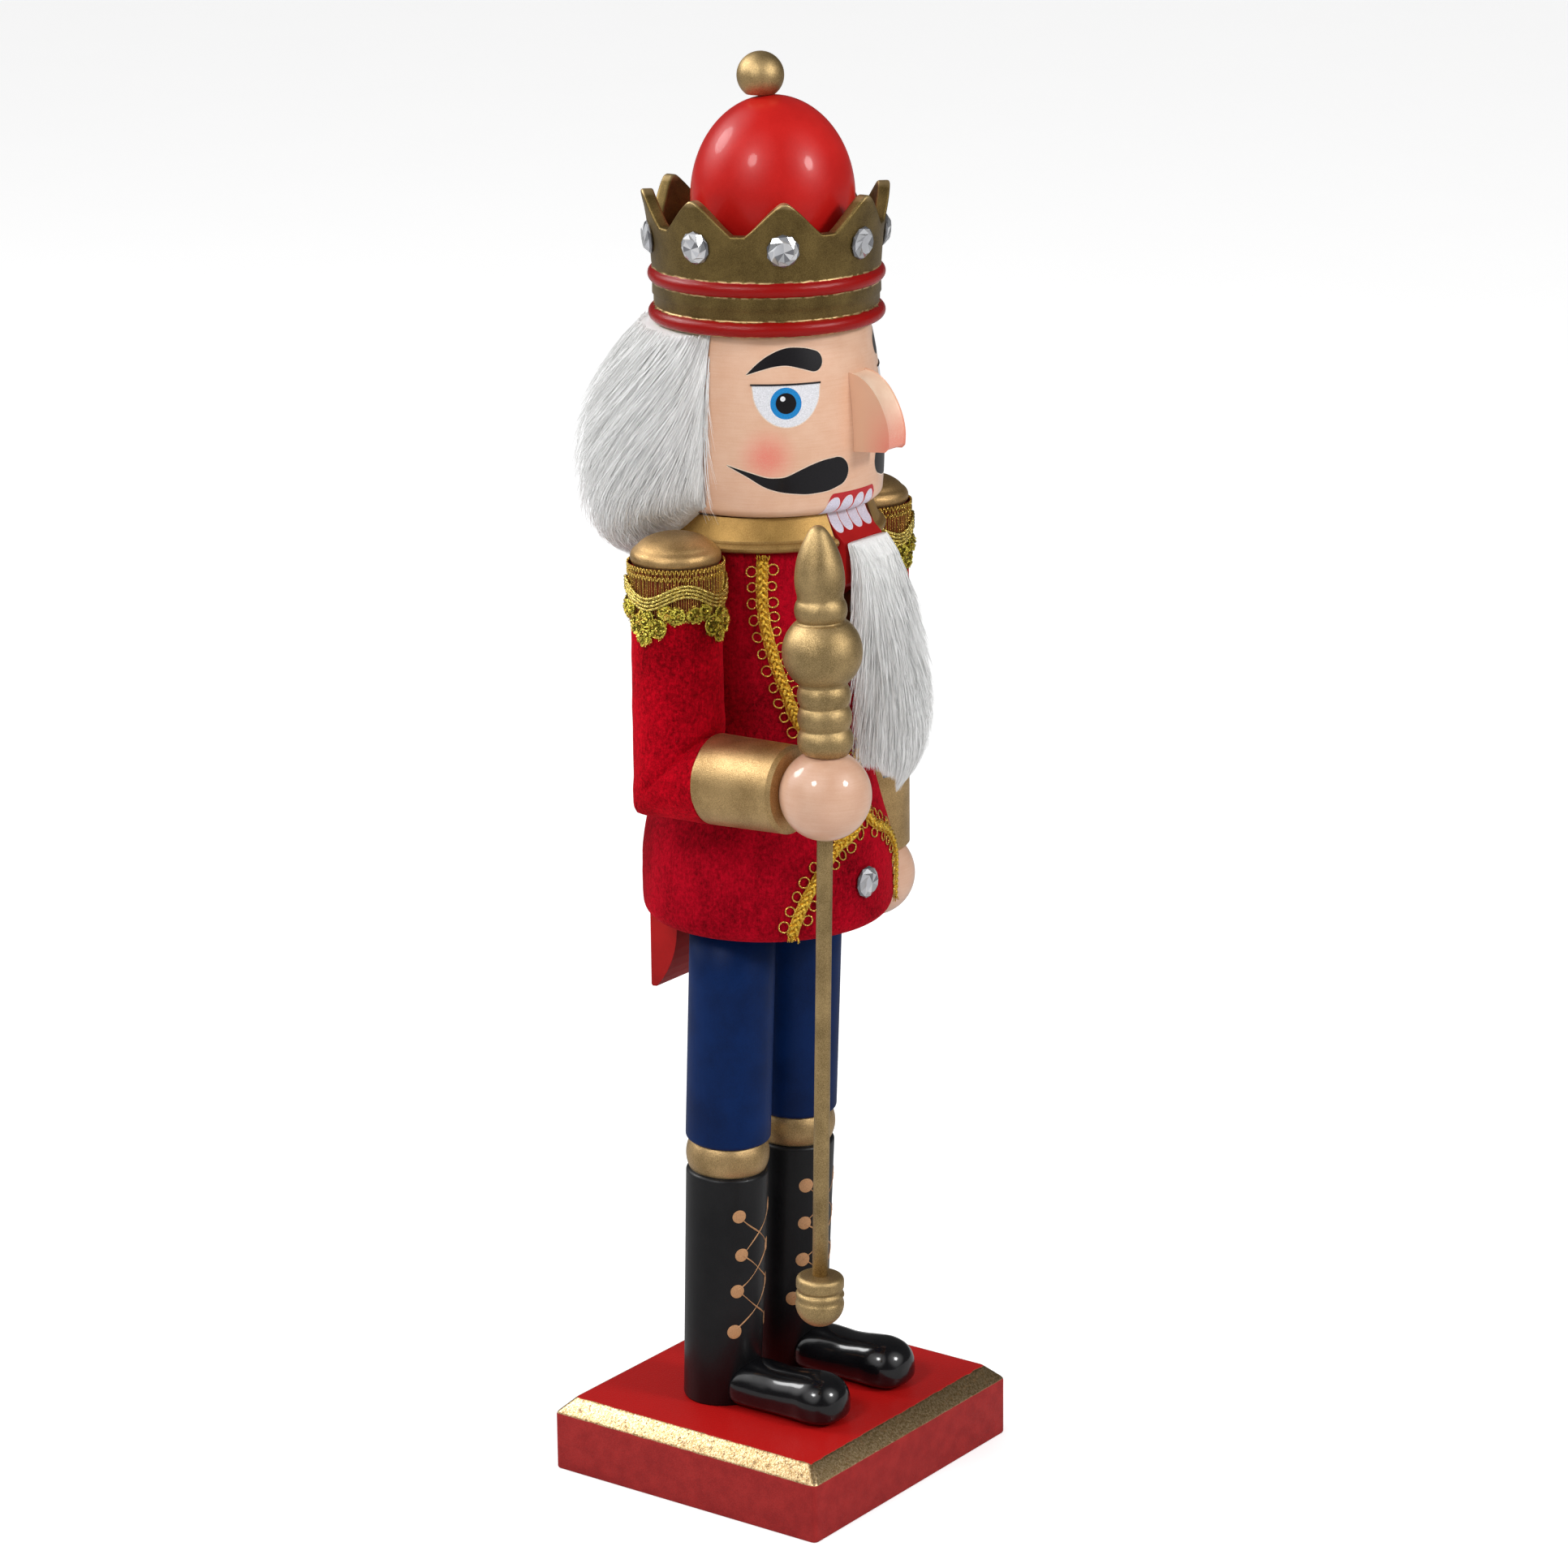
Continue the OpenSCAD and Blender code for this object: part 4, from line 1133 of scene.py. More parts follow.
def tooth_outline(half, tall, n=14):
    """A petal with a straight end at 0 and a round end at `tall`."""
    straight = tall - half * 1.25
    steps = [straight * i / 8 for i in range(8)]
    cap = [(half * math.cos(a), straight + half * 1.25 * math.sin(a))
           for a in [math.pi - math.pi * i / n for i in range(n + 1)]]
    return [(-half, z) for z in steps] + cap + [(half, z) for z in steps[::-1]]


def petal(m, outline, place, slot):
    """A filled petal: outline points are joined across in even strips."""
    n = len(outline)
    rows = []
    for i in range(n // 2):
        a = outline[i]
        b = outline[n - 1 - i]
        rows.append([place(a[0] + (b[0] - a[0]) * k / 6, a[1] + (b[1] - a[1]) * k / 6)
                     for k in range(7)])
    m.lay(rows, closed=False, slot=slot)


def upper_teeth():
    """Four petals on a red field at the head's lower edge."""
    m = Mesh()
    mid = -3.8
    half = 8.2

    def spot(x, h, lift):
        z = 248.95 + h
        r = head_r(z) + lift
        return Vector((x, HEAD_Y - math.sqrt(r * r - x * x), z))

    rows = []
    for i in range(33):
        u = -1 + 2 * i / 32
        corner = 5.15 - 1.9 * max(0, (abs(u) - 0.84) / 0.16) ** 2
        rows.append([spot(mid - 0.3 + half * u + 1.5 * k / 24, corner * k / 24, 0.03)
                     for k in range(25)])
    m.lay(rows, closed=False, slot=0)
    wide = 2 * half / 4
    for i in range(4):
        x = mid - half + wide * (i + 0.5)
        for grow, lift, slot in ((0.0, 0.05, 2), (-0.16, 0.07, 1)):
            shape = tooth_outline(wide / 2 - 0.22 + grow, 4.2 + grow)
            petal(m, shape, lambda a, b, x=x, lift=lift: spot(x - 0.25 + a + 0.32 * b, b, lift),
                  slot)
    m.build("upper_teeth_paint", [LIP, TOOTH, TOOTH_RIM], "root", "skin_paint")


def lower_teeth():
    """Petals on the sloping front of the chin."""
    m = Mesh()
    chin = [(-21.6, 248.5), (-22.6, 246.4), (-24.8, 243.6), (-26.6, 242)]
    lengths = [0.0]
    for a, b in zip(chin, chin[1:]):
        lengths.append(lengths[-1] + math.dist(a, b))

    def spot(x, s, lift):
        for k in range(len(chin) - 1):
            if s <= lengths[k + 1] or k == len(chin) - 2:
                t = (s - lengths[k]) / (lengths[k + 1] - lengths[k])
                a = chin[k]
                b = chin[k + 1]
                y = a[0] + (b[0] - a[0]) * t
                z = a[1] + (b[1] - a[1]) * t
                out = Vector((0, b[1] - a[1], -(b[0] - a[0]))).normalized()
                return Vector((x, y, z)) + out * lift
        return None

    wide = 15.4 / 4
    for i in range(4):
        x = -7.7 + wide * (i + 0.5)
        for grow, lift, slot in ((0.0, 0.05, 1), (-0.17, 0.08, 0)):
            shape = tooth_outline(wide / 2 - 0.12 + grow, 5.6 + grow)
            petal(m, shape, lambda a, b, x=x, lift=lift: spot(x + a, b, lift), slot)
    m.build("lower_teeth_paint", [TOOTH, TOOTH_RIM], "jaw", "red_paint")


def nose():
    """A board with a curved front and softened edges."""
    front = spline([(-25.4, 281.8), (-28.4, 281), (-31.4, 278.8), (-33.8, 275.6), (-35.5, 272),
                    (-36.3, 268.4), (-36.2, 265.2)], 5)
    outline = [(-20.5, 264.0), (-20.5, 281.6)] + front + [(-35.6, 264.6), (-27, 263.8)]
    n = len(outline)
    rows = []
    for x, inset in ((-3.5, 0.45), (-3.37, 0.13), (-3.05, 0.0), (3.05, 0.0), (3.37, 0.13),
                     (3.5, 0.45)):
        row = []
        for i, (y, z) in enumerate(outline):
            a = Vector(outline[i - 1])
            b = Vector(outline[(i + 1) % n])
            t = (b - a).normalized()
            q = Vector((y, z)) + Vector((t.y, -t.x)) * inset
            row.append(Vector((x, q.x, q.y)))
        rows.append(row)
    m = Mesh()
    m.lay(rows)
    m.add(rows[0], [list(range(n))[::-1]], 0, True)
    m.add(rows[-1], [list(range(n))], 0, True)
    m.build("nose_painted", [NOSE], "root", "skin_paint", ["nose"])


# ---------------------------------------------------------------- fur
HAIR_FROM = -3.5
HAIR_TO = 183.5
HAIR_TOP = 292.3


def hair_low(a):
    """Height of the hair's lower edge: it rises over the shoulders to the face's edges."""
    edge = min(a, 180 - a)
    table = [(-6, 252.0), (2, 249.6), (9, 246.0), (18, 242.0), (33, 236.0), (48, 232.6)]
    if edge <= table[0][0]:
        return table[0][1]
    for (e0, z0), (e1, z1) in zip(table, table[1:]):
        if edge <= e1:
            return z0 + (z1 - z0) * (edge - e0) / (e1 - e0)
    return table[-1][1]


def hair_thickness(a, z):
    """Depth of the fur over the head, thin at the face's edges and at the lower lip."""
    table = [(231.0, 6.0), (235, 9.4), (240, 11.6), (247, 13.8), (254, 15.2), (262, 15.4),
             (269, 14.4), (276, 12.2), (282, 9.6), (287, 6.8), (291.6, 3.2)]
    full = table[-1][1]
    for (z0, t0), (z1, t1) in zip(table, table[1:]):
        if z <= z1:
            full = t0 + (t1 - t0) * max(z - z0, 0) / (z1 - z0)
            break
    side = min(a - HAIR_FROM, HAIR_TO - a) + 1.5
    rise = ease(side / 19) ** 0.62
    lip = 1 - math.exp(-max(z - hair_low(a) + 0.4, 0) / 3.2)
    return 0.3 + (full + 27.9 - head_r(z)) * rise * lip


def hair_point(a, z, depth):
    """a is degrees from the left ear, round the back, to the right ear."""
    t = math.radians(a)
    r = head_r(z) - 0.3 + hair_thickness(a, z) * depth
    return Vector((r * math.cos(t), HEAD_Y + r * math.sin(t), z))


def settle(p):
    """Moves a point of the hair out of the shoulder caps, their trim and the coat."""
    for s in (-1, 1):
        d = math.hypot(p.x - s * ARM_X, p.y)
        if d < 10.6:
            p.z = max(p.z, 247.7 - 0.9 * (d / 6) ** 2 - 1.1 * max(d - 7, 0))
        elif d < 13.4:
            p.z = max(p.z, 242.6)
    body = Vector((p.x, p.y - BODY_Y))
    if p.z < 242 and 0 < body.length < 28.4:
        body *= 28.4 / body.length
        p.x = body.x
        p.y = body.y + BODY_Y
    return p


def strand(m, path, width, rng, slot):
    """A flat tapering fibre along path."""
    n = len(path)
    turn = rng.uniform(0, math.pi)
    t = (path[-1] - path[0]).normalized()
    a = t.orthogonal().normalized()
    side = a * math.cos(turn) + t.cross(a) * math.sin(turn)
    points = []
    for i, p in enumerate(path):
        w = width * (1 - (i / (n - 1)) ** 1.5) + 0.012
        points.append(p + side * w)
        points.append(p - side * w)
    faces = [[2 * i, 2 * i + 1, 2 * i + 3, 2 * i + 2] for i in range(n - 1)]
    m.add(points, faces, slot)


def hair_mat():
    """The closed surface below the hair's strands."""
    m = Mesh()
    rows = []
    for i in range(61):
        row = []
        for j in range(129):
            a = HAIR_FROM + (HAIR_TO - HAIR_FROM) * j / 128
            z = hair_low(a) + (291.2 - hair_low(a)) * i / 60
            lump = noise.noise(Vector((a * 0.09, z * 0.05, 0)))
            row.append(settle(hair_point(a, z, 0.88 + 0.08 * lump)))
        rows.append(row)
    rows.append([hair_point(HAIR_FROM + (HAIR_TO - HAIR_FROM) * j / 128, 292.2, 0.0)
                 for j in range(129)])
    m.lay(rows, closed=False)
    m.build("hair_mat", [UNDER_FUR], "root", "fur", ["hair"])


def hair():
    """Strands that fall from the crown, swept back, and a few wisps at the right cheek."""
    rng = random.Random(11)
    hair_mat()
    m = Mesh()
    for _ in range(27000):
        a = rng.uniform(HAIR_FROM - 0.5, HAIR_TO + 0.5)
        low = hair_low(a)
        z0 = HAIR_TOP - (HAIR_TOP - low - 4) * rng.random() ** 0.95
        length = min(rng.uniform(11, 24), z0 - low + rng.uniform(-1, 1.5))
        side = (a - 90) / 97
        sweep = -30 * side * (1 - abs(side) ** 4) * length / 20
        clump = noise.noise(Vector((a * 0.12, z0 * 0.05, 3.0)))
        sway = sweep + clump * 4 + rng.uniform(-1.8, 1.8)
        start = rng.uniform(0.80, 0.97)
        flare = rng.uniform(0.0, 0.10) + (0.20 if rng.random() < 0.08 else 0)
        path = []
        for i in range(6):
            t = i / 5
            turn = a + sway * t ** 1.3
            past = max(HAIR_FROM - turn, turn - HAIR_TO, 0)
            turn += (-0.8 if turn > 90 else 0.8) * past
            depth = start + (1.0 + flare - start) * t ** 0.8
            path.append(settle(hair_point(turn, z0 - length * t, depth)))
        strand(m, path, rng.uniform(0.07, 0.13), rng, 0 if rng.random() < 0.75 else 1)
    for _ in range(60):
        a = HAIR_TO + rng.uniform(-3, 2)
        z0 = rng.uniform(262, 289)
        length = rng.uniform(12, 24)
        lean = rng.uniform(-1, 7)
        path = [on_head(270 - a - lean * (i / 5) ** 2, z0 - length * i / 5, 0.3 + 0.9 * (i / 5))
                for i in range(6)]
        strand(m, path, 0.07, rng, 0)
    m.build("hair_strands", [FUR_LIGHT, FUR_GREY], "root", "fur")


BEARD = [(181.0, -34.4, 2.5, 1.4), (185.0, -34.4, 7.2, 3.4), (190.0, -34.4, 10.2, 5.0),
         (197.0, -34.5, 11.2, 5.8), (206.0, -34.3, 11.3, 5.7), (216.0, -33.4, 10.8, 5.2),
         (226.0, -32.2, 9.8, 4.4), (233.0, -31.0, 8.9, 3.6), (238.0, -29.8, 8.1, 2.6),
         (242.0, -28.0, 7.8, 1.2)]


def beard_shape(z):
    """Middle y, half width and half depth of the beard at height z."""
    z = min(max(z, BEARD[0][0]), BEARD[-1][0])
    for a, b in zip(BEARD, BEARD[1:]):
        if z <= b[0]:
            t = (z - a[0]) / (b[0] - a[0])
            return [a[k] + (b[k] - a[k]) * t for k in (1, 2, 3)]
    return BEARD[-1][1:]


def beard_point(u, z, depth):
    """u is the turn round the beard's section, 0 at its left side, 90 at its front."""
    y, wide, deep = beard_shape(z)
    t = math.radians(u)
    square = 0.5 + 0.5 * min(max((240 - z) / 22, 0), 1)
    c = math.copysign(abs(math.cos(t)) ** square, math.cos(t))
    s = math.copysign(abs(math.sin(t)) ** square, math.sin(t))
    return Vector((wide * depth * c, y - deep * depth * s, z))


def bend_beard(obj):
    """Moves the beard's placement into its mesh."""
    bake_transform(obj)


def beard_mat():
    """The closed surface below the beard's strands."""
    m = Mesh()
    rows = []
    for i in range(49):
        z = 183.0 + 58.8 * i / 48
        fit = 0.87 + 0.09 * ease((z - 225) / 14)
        row = []
        for j in range(72):
            u = 360 * j / 72
            p = beard_point(u, z, 1.0)
            lump = noise.noise(Vector((p.x * 0.3, p.y * 0.3, p.z * 0.06)))
            q = beard_point(u, z, fit + 0.05 * lump)
            side = max(0.0, -math.cos(math.radians(u)))
            q.z += 8 * side * (1 - i / 48) ** 3
            row.append(q)
        rows.append(row)
    m.lay(rows, flip=True, ends=True)
    bend_beard(m.build("beard_mat", [UNDER_FUR], None, "fur", ["beard"]))


def beard():
    """Strands that fall from the chin, wide below it and narrow at the tip."""
    rng = random.Random(23)
    beard_mat()
    m = Mesh()
    for _ in range(16000):
        u = rng.uniform(-12, 192)
        z0 = 242.0 - 54 * rng.random() ** 0.95
        side = max(0.0, -math.cos(math.radians(u)))
        floor_z = 180.0 + rng.uniform(0, 3.5) + 8 * side
        end = max(z0 - rng.uniform(8, 17), floor_z)
        if z0 - end < 2:
            continue
        start = rng.uniform(0.86, 0.99)
        clump = noise.noise(Vector((u * 0.05, z0 * 0.06, 9.0)))
        sway = clump * 5 + rng.uniform(-5, 5)
        flare = rng.uniform(0.0, 0.13) + (0.26 if rng.random() < 0.12 else 0)
        flare *= min((243 - z0) / 12, 1)
        path = []
        for i in range(6):
            t = i / 5
            depth = start + (1.0 + flare - start) * t ** 0.8
            path.append(beard_point(u + sway * t, z0 + (end - z0) * t, depth))
        strand(m, path, rng.uniform(0.06, 0.11), rng, 0 if rng.random() < 0.78 else 1)
    bend_beard(m.build("beard_strands", [FUR_LIGHT, FUR_GREY], None, "fur"))


# ---------------------------------------------------------------- crown
def crown_top(a):
    """Height of the crown's edge at angle a: eight blunt points, the valleys rounded."""
    period = 45.0
    u = abs((a + 90) % period - period / 2)
    d = (period / 2 - u) * math.radians(1) * 29.0
    full = period / 2 * math.radians(1) * 29.0
    t = d / full
    flat_tip = 0.10
    flat_low = 0.15
    s = min(max((t - flat_tip) / (1 - flat_tip - flat_low), 0), 1)
    s = 0.82 * s + 0.18 * ease(s)
    crest = 0.35 * (1 - min(t / flat_tip, 1) ** 2)
    return 316.3 + 7.5 * (1 - s) + crest


def crown():
    """A turned ring with two beads, its wall cut into blunt points."""
    seg = 320
    lower = [(0.0, 292.3), (26.4, 292.3)] + arc(26.5, 294.1, 1.85, -82, 82, 14)
    lower += [(26.75, 296.3), (27.0, 297.0), (27.0, 298.6), (27.35, 298.9), (27.3, 301.3)]
    lower += arc(26.5, 303.4, 1.9, -62, 62, 14) + [(27.35, 305.6), (27.45, 306.4)]
    rows = []
    for r, z in lower:
        rows.append([Vector((r * c, HEAD_Y + r * s, z)) for c, s in circle(seg)])

    def wall_out(z):
        t = (z - 306) / 18
        return 27.45 + 0.75 * t + 1.6 * t * t

    steps = [0.12, 0.25, 0.4, 0.55, 0.7, 0.82, 0.92]
    edge = [(-0.0, -0.55), (0.12, -0.2), (0.45, -0.02), (0.8, 0.0)]
    tops = [crown_top(360 * j / seg) for j in range(seg)]

    def ring(get):
        row = []
        for top, (c, s) in zip(tops, circle(seg)):
            r, z = get(top)
            row.append(Vector((r * c, HEAD_Y + r * s, z)))
        rows.append(row)

    for t in steps:
        ring(lambda top, t=t: (wall_out(306.4 + (top - 0.8 - 306.4) * t),
                               306.4 + (top - 0.8 - 306.4) * t))
    for inset, drop in edge:
        ring(lambda top, i=inset, d=drop: (wall_out(top) - i, top + d))
    for inset, drop in edge[::-1]:
        ring(lambda top, i=inset, d=drop: (wall_out(top) - 3.0 + i, top + d))
    for t in steps[::-1]:
        ring(lambda top, t=t: (wall_out(300 + (top - 0.8 - 300) * t) - 3.0,
                               300 + (top - 0.8 - 300) * t))
    for r, z in ((24.2, 299.0), (23.6, 298.4), (0.0, 298.4)):
        ring(lambda top, r=r, z=z: (r, z))
    m = Mesh()
    m.lay(rows)
    m.build("crown_painted", [CROWN], "root", "gold_paint", ["crown"])


def dome():
    """The red egg inside the crown."""
    profile = [(0.0, 298.45)]
    for i in range(13):
        z = 298.45 + (321.5 - 298.45) * i / 12
        profile.append((19.6 * math.sqrt(1 - ((321.5 - z) / 34) ** 2), z))
    for i in range(1, 25):
        a = math.pi / 2 * i / 24
        profile.append((19.6 * math.cos(a), 321.5 + 24 * math.sin(a)))
    m = Mesh()
    turned(m, profile, 0, -1.1)
    m.build("crown_dome_painted", [RED], "root", "red_paint", ["crown_dome"])


def rhinestone(m, centre, out, rng, r=4.0):
    """A round cut stone: girdle, two rows of facets and a flat table, each facet given a bright or
    dark tone as a painted reflection, the girdle always the dark one.
    """
    out = out.normalized()
    side = Vector((0, 0, 1)).cross(out).normalized()
    up = out.cross(side)
    spin = rng.uniform(0, 0.4)

    def at(radius, a, h):
        return centre + (side * math.cos(a) + up * math.sin(a)) * radius + out * h

    n = 10
    rings = [(r * 0.97, 0.0, 0.0), (r, 0.3, 0.0), (r * 0.9, 0.75, 0.5), (r * 0.6, 1.75, 0.0)]
    rows = []
    for radius, h, shift in rings:
        rows.append([at(radius, 2 * math.pi * (j + shift) / n + spin, h) for j in range(n)])
    table = rows[-1]
    for ring, (row, above) in enumerate(zip(rows[:-1], rows[1:])):
        for j in range(n):
            k = (j + 1) % n
            quads = ([row[j], row[k], above[j]], [row[k], above[k], above[j]])
            for tri in quads:
                reflection_tone = 2 if ring < 2 else rng.choice((0, 1, 1, 3))
                m.add(tri, [[0, 1, 2]], reflection_tone, True)
    middle = sum(table, Vector()) / n
    for j in range(n):
        k = (j + 1) % n
        reflection_tone = rng.choice((0, 1, 2, 3, 3))
        m.add([table[j], table[k], middle + out * 0.1], [[0, 1, 2]], reflection_tone, True)


def gems():
    """Eight stones on the crown, one on the coat."""
    rng = random.Random(3)
    m = Mesh()
    for i in range(8):
        a = math.radians(-90 + 45 * i + rng.uniform(-1.2, 1.2))
        out = Vector((math.cos(a), math.sin(a), -0.1))
        z = 312.8 + rng.uniform(-0.3, 0.3)
        r = 27.95
        centre = Vector((r * math.cos(a), HEAD_Y + r * math.sin(a), z))
        rhinestone(m, centre, out, rng)
    m.build("crown_stones", STONES, "root", "rhinestone", ["crown_gems"])
    m = Mesh()
    out = on_coat(3, 156.7, 1) - on_coat(3, 156.7)
    rhinestone(m, on_coat(3, 156.7, 0.2), out, rng)
    m.build("coat_stone", STONES, "root", "rhinestone", ["coat_gem"])


# ---------------------------------------------------------------- shoulders
def shoulder_cap(side):
    """A flat turned button on the arm's top."""
    name = side_name(side)
    profile = [(0.0, 239.25), (8.4, 239.25)] + arc(8.4, 241.65, 2.4, -88, 50, 14)
    profile += spline([(9.4, 243.9), (8.3, 245.0), (6.4, 246.1), (3.6, 246.9), (0.0, 247.2)], 5)
    m = Mesh()
    turned(m, profile, side * ARM_X, 0)
    m.build(name + "_cap_painted", [CAP_GOLD], "root", "gold_paint", [name + "_shoulder_cap"])


TRIM_FROM = 38
TRIM_TO = 322
FLOWERS = (82.5, 180.5, 278.5)


def trim_ribbon(m, at, rng, side):
    """The reddish band with upright gold threads and a zigzag thread along each edge."""
    rows = []
    for i in range(9):
        row = []
        for j in range(143):
            a = TRIM_FROM + (TRIM_TO - TRIM_FROM) * j / 142
            z = 228.2 + 12.2 * i / 8 + (0.25 * math.sin(a * 0.9) if i in (0, 8) else 0)
            ruffle = 0.10 * math.sin(a * 1.6) + 0.1 * noise.noise(Vector((a * 0.1, z * 0.3, side)))
            row.append(at(a, z, 11.2 + ruffle))
        rows.append(row)
    m.lay(rows, closed=False, flip=side > 0, slot=0)
    for j in range(96):
        a = TRIM_FROM + 1 + (TRIM_TO - TRIM_FROM - 2) * j / 95
        lean = rng.uniform(-1.2, 1.2)
        low = 228.0 + rng.uniform(-0.3, 0.4)
        high = 240.2 + rng.uniform(-0.3, 0.4)
        path = [at(a + lean * k / 4, low + (high - low) * k / 4, 11.36) for k in range(5)]
        tube(m, path, rng.uniform(0.06, 0.1), 5, 1)
    for z, swing in ((240.1, 0.5), (238.4, 0.45), (228.3, 0.3)):
        path = [at(TRIM_FROM + (TRIM_TO - TRIM_FROM) * j / 220,
                   z + swing * (1 if j % 4 < 2 else -1), 11.55) for j in range(221)]
        tube(m, path, 0.15, 5, 1)


def trim_lobe(m, at, rng, a0, z0, size):
    """A round petal: a loop of glitter yarn filled with loose flakes of foil."""
    per_mm = math.degrees(1 / 12.0)
    ring = arc(0, 0, size, 0, 340, 17)
    n = len(ring)
    loop = [at(a0 + x * per_mm, z0 + y, 11.95) for x, y in ring]
    tube(m, loop, [0.16 + 0.12 * rng.random() for _ in loop], 6, 3, closed=True)
    body = [at(a0, z0, 12.0)] + [at(a0 + x * per_mm, z0 + y, 11.8) for x, y in ring]
    m.add(body, [[0, 1 + j, 1 + (j + 1) % n] for j in range(n)], 4)
    back = [at(a0, z0, 11.4)] + [at(a0 + x * per_mm, z0 + y, 11.6) for x, y in ring]
    m.add(back, [[0, 1 + (j + 1) % n, 1 + j] for j in range(n)], 4)
    out = (at(a0, z0, 13.0) - at(a0, z0, 12.0)).normalized() + Vector((0, 0, 0.5))
    for _ in range(110):
        d = (size + 0.5) * math.sqrt(rng.random())
        t = rng.uniform(0, 2 * math.pi)
        c = at(a0 + d * math.cos(t) * per_mm, z0 + d * math.sin(t),
               12.4 - 0.35 * (d / size) ** 2 + rng.uniform(-0.1, 0.25))
        facing = out + Vector([rng.gauss(0, 0.5) for _ in range(3)])
        u = facing.cross(Vector([rng.gauss(0, 1) for _ in range(3)])).normalized()
        v = facing.cross(u).normalized()
        s = rng.uniform(0.2, 0.5)
        corners = [c + u * s, c + v * s * 0.6, c - u * s, c - v * s * 0.6]
        m.add(corners, [[0, 1, 2, 3]], rng.choice((1, 3, 3, 3, 4)), True)


def epaulette(side):
    """A ribbon with gold threads, a wavy cord of four strands, and glitter petals below."""
    name = side_name(side)
    rng = random.Random(31 + side)
    m = Mesh()

    def at(a, z, r):
        """a is degrees round the arm, 0 pointing at the body."""
        t = math.radians(a)
        return Vector((side * (ARM_X - r * math.cos(t)), -r * math.sin(t), z))

    trim_ribbon(m, at, rng, side)
    for k in range(4):
        path = []
        for j in range(161):
            a = TRIM_FROM + (TRIM_TO - TRIM_FROM) * j / 160
            wave = -1.7 * math.cos(math.radians(a - FLOWERS[0]) * 360 / 98)
            z = 233.9 + wave + (k - 1.5) * 0.86
            path.append(at(a, z, 11.9 + 0.12 * math.sin(a * 0.7 + k)))
        tube(m, path, 0.37, 8, 2)
    lobes = []
    for f in FLOWERS:
        lobes += [(f - 15, 226.6, 2.3), (f + 15, 226.8, 2.2), (f, 228.9, 2.1), (f + 3, 224.2, 1.9)]
    for f in (131.5, 229.5):
        lobes += [(f - 11, 229.8, 1.7), (f + 11, 229.6, 1.7), (f - 24, 230.6, 1.4),
                  (f + 24, 230.4, 1.4)]
    for a0, z0, size in lobes:
        trim_lobe(m, at, rng, a0, z0, size * rng.uniform(0.92, 1.08))
    m.build(name + "_epaulette_trim", [RIBBON, WIRE, CORD, GLITTER, GLITTER_DARK], "root",
            "metallic_trim", [name + "_epaulette"])


# ---------------------------------------------------------------- braid
ROUTE = [(54.5, 238.8), (55, 230), (53.5, 223), (49.5, 215), (44, 207), (36, 198), (20, 192),
         (6, 187), (3.6, 180), (3.6, 173), (10, 169.4), (20, 167), (28, 162.5), (36, 156),
         (41, 150), (43, 146.6)]


def braid_line(side):
    """The braid's length and a function for points along, across and above its line."""
    points = [on_coat(-side * a, z, 0) for a, z in spline(ROUTE, 14)]
    total = [0.0]
    for p, q in zip(points, points[1:]):
        total.append(total[-1] + (q - p).length)
    length = total[-1]

    def place(d, across, lift):
        d = min(max(d, 0.0), length - 0.001)
        k = max(i for i in range(len(total) - 1) if total[i] <= d)
        t = (d - total[k]) / (total[k + 1] - total[k])
        p = points[k].lerp(points[k + 1], t)
        way = (points[min(k + 2, len(points) - 1)] - points[max(k - 1, 0)]).normalized()
        out = Vector((p.x, p.y - BODY_Y, 0)).normalized()
        out = (out - way * out.dot(way)).normalized()
        q = p + way.cross(out) * across
        flat = Vector((q.x, q.y - BODY_Y, 0))
        flat = flat.normalized() * (coat_r(q.z) + lift)
        return Vector((flat.x, flat.y + BODY_Y, q.z))

    return length, place


def braid_plait(m, length, place):
    """Three plaited yarns over four straight ones."""
    steps = int(length / 0.45)
    for k in range(3):
        path = []
        for i in range(steps + 1):
            d = length * i / steps
            phase = 2 * math.pi * (d / 5.4 + k / 3)
            path.append(place(d, 0.82 * math.sin(phase), 0.75 + 0.32 * math.sin(2 * phase)))
        tube(m, path, 0.5, 7, 0)
    for edge in (-1.15, -0.4, 0.4, 1.15):
        path = [place(length * i / steps, edge + 0.06 * math.sin(i * 1.3), 0.42)
                for i in range(steps + 1)]
        tube(m, path, 0.3, 6, 0)


def braid_ends(m, length, place, rng):
    """Frayed yarn at both cut ends."""
    for end, way in ((0.0, -1), (length, 1)):
        for _ in range(22):
            across = rng.uniform(-1.3, 1.3)
            base = place(end, across, rng.uniform(0.4, 1.1))
            tip = base + Vector((rng.uniform(-0.7, 0.7), rng.uniform(-0.5, 0.2),
                                 -way * rng.uniform(0.8, 1.8)))
            tube(m, [base, (base + tip) / 2 + Vector((0.1, -0.1, 0)), tip], 0.11, 5, 0)


def braid_loops(m, length, place, rng):
    """Wire loops along both edges."""
    gap = 4.0
    for edge in (-1, 1):
        d = 2.0 + (0.7 if edge > 0 else 0)
        while d < length - 1:
            r = rng.uniform(1.05, 1.3)
            away = edge * (1.25 + r)
            tilt = rng.uniform(-0.2, 0.2)
            loop = []
            for c, s in circle(20):
                wide = r * c
                loop.append(place(d + r * s + tilt * wide, away + wide, 0.35 + 0.15 * c * -edge))
            tube(m, loop, 0.2, 6, 1, closed=True)
            foot = [place(d + along, edge * across, 0.5)
                    for along, across in ((-0.9, 0.9), (-0.3, 1.35), (0.3, 1.35), (0.9, 0.9))]
            tube(m, foot, 0.2, 5, 1)
            d += gap * rng.uniform(0.9, 1.1)


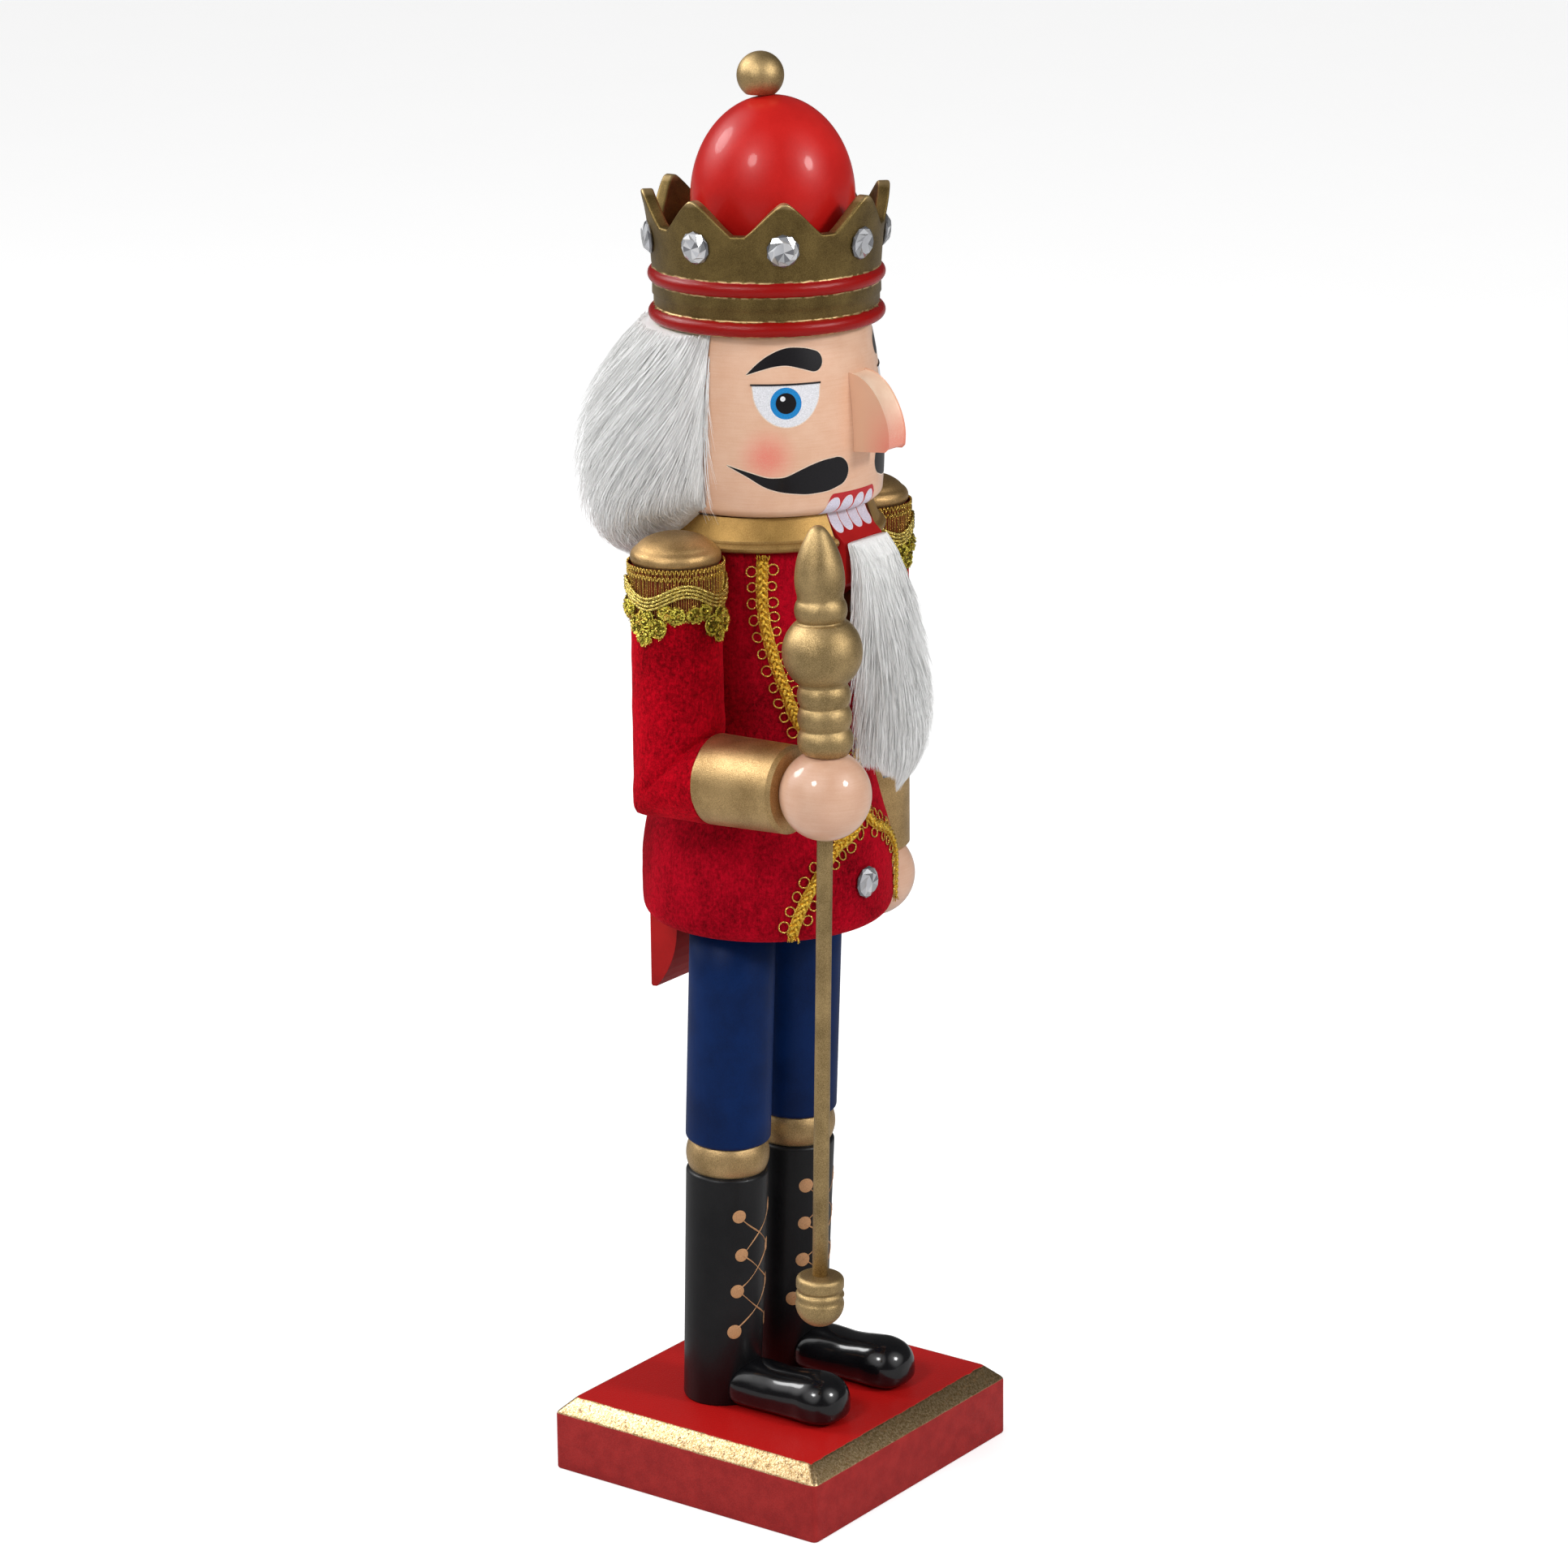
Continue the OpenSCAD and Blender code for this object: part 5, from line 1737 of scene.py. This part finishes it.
def braid(side):
    """A plait of foil yarns with small wire loops along both edges."""
    rng = random.Random(41 + side)
    name = side_name(side)
    length, place = braid_line(side)
    m = Mesh()
    braid_plait(m, length, place)
    braid_ends(m, length, place, rng)
    braid_loops(m, length, place, rng)
    m.build(name + "_braid_trim", [BRAID, WIRE], "root", "metallic_braid", [name + "_braid"])


# ---------------------------------------------------------------- sceptre
def sceptre():
    """Turned head, rod and foot; the head leans a little off the rod."""
    place = Matrix.Translation(HAND) @ Matrix.Rotation(math.radians(LEAN), 4, "X")
    seat = 10.15
    shape = [(0.0, -1.0), (5.2, -1.0)] + arc(2.2, 2.8, 4.4, -40, 36)
    shape += arc(1.4, 8.2, 5.0, -31, 31) + arc(1.5, 13.5, 4.8, -33, 33)
    shape += arc(0, 23.9, 9.4, -49, 49, 26) + arc(1.6, 33.8, 4.6, -35, 34)
    shape += spline([(5.4, 37.2), (5.85, 39.8), (5.8, 42.4), (5.3, 45.4), (4.4, 48.2),
                     (3.1, 50.9), (1.9, 52.8), (0.9, 53.6), (0.0, 53.8)], 5)
    tilt = Matrix.Translation((0, 0, seat + 0.4))
    tilt @= Matrix.Rotation(math.radians(-HEAD_TILT), 4, "X")
    m = Mesh()
    turned(m, shape, place=tilt)
    for i, p in enumerate(m.points):
        m.points[i] = place @ Vector((p.x, p.y, max(p.z, seat)))
    m.build("sceptre_head_turned", [GOLD], "sceptre", "gold_paint", ["sceptre_head"])
    foot = [(0.0, 0.0)] + arc(0, 5.9, 5.9, -84, 0, 16) + [(5.75, 6.6), (5.2, 7.4)]
    foot += arc(4.8, 8, 1.1, 0, 50) + arc(4.5, 10.4, 1.3, -60, 0)
    foot += arc(4.4, 11.6, 1.4, 0, 80) + [(3.4, 13.0), (1.9, 13.1)]
    m = Mesh()
    turned(m, [(r, z - 133.6) for r, z in foot], place=place)
    m.build("sceptre_foot_turned", [GOLD], "sceptre", "gold_paint", ["sceptre_foot"])
    rod = [(0.0, -126.6), (1.9, -126.6), (1.92, -90), (1.87, -50), (1.9, -9), (1.9, 21.6),
           (0.0, 21.6)]
    m = Mesh()
    turned(m, rod, place=place, seg=64)
    m.build("sceptre_rod_turned", [GOLD], "sceptre", "gold_paint", ["sceptre_rod"])


# ---------------------------------------------------------------- everything
camera()
stage()
for node in ("leg_dowels", "head_dowels", "crown_dowel", "dome_dowel", "shoulder_dowels",
             "elbow_dowel", "right_hand_dowel", "left_hand_dowel", "right_upper_arm"):
    paint_node(node, WOOD)
for node in ("base_screws", "lever_pin"):
    paint_node(node, STEEL)
paint_node("torso", TORSO)
paint_node("jaw_lever", LEVER_RED)
paint_node("crown_ball", GOLD)
paint_node("right_forearm", BRONZE)
paint_node("left_arm", BRONZE)
paint_node("right_hand", SHADED_HAND_SKIN)
paint_node("left_hand", SHADED_HAND_SKIN)
base_plate()
for s in (-1, 1):
    leg(s)
    boot_laces(s)
    shoe(s)
    shoulder_cap(s)
    epaulette(s)
    braid(s)
coat_piece = coat()
right_piece = right_sleeve()
left_piece = left_sleeve()
head()
face_paint()
upper_teeth()
lower_teeth()
nose()
hair()
beard()
crown()
dome()
gems()
sceptre()
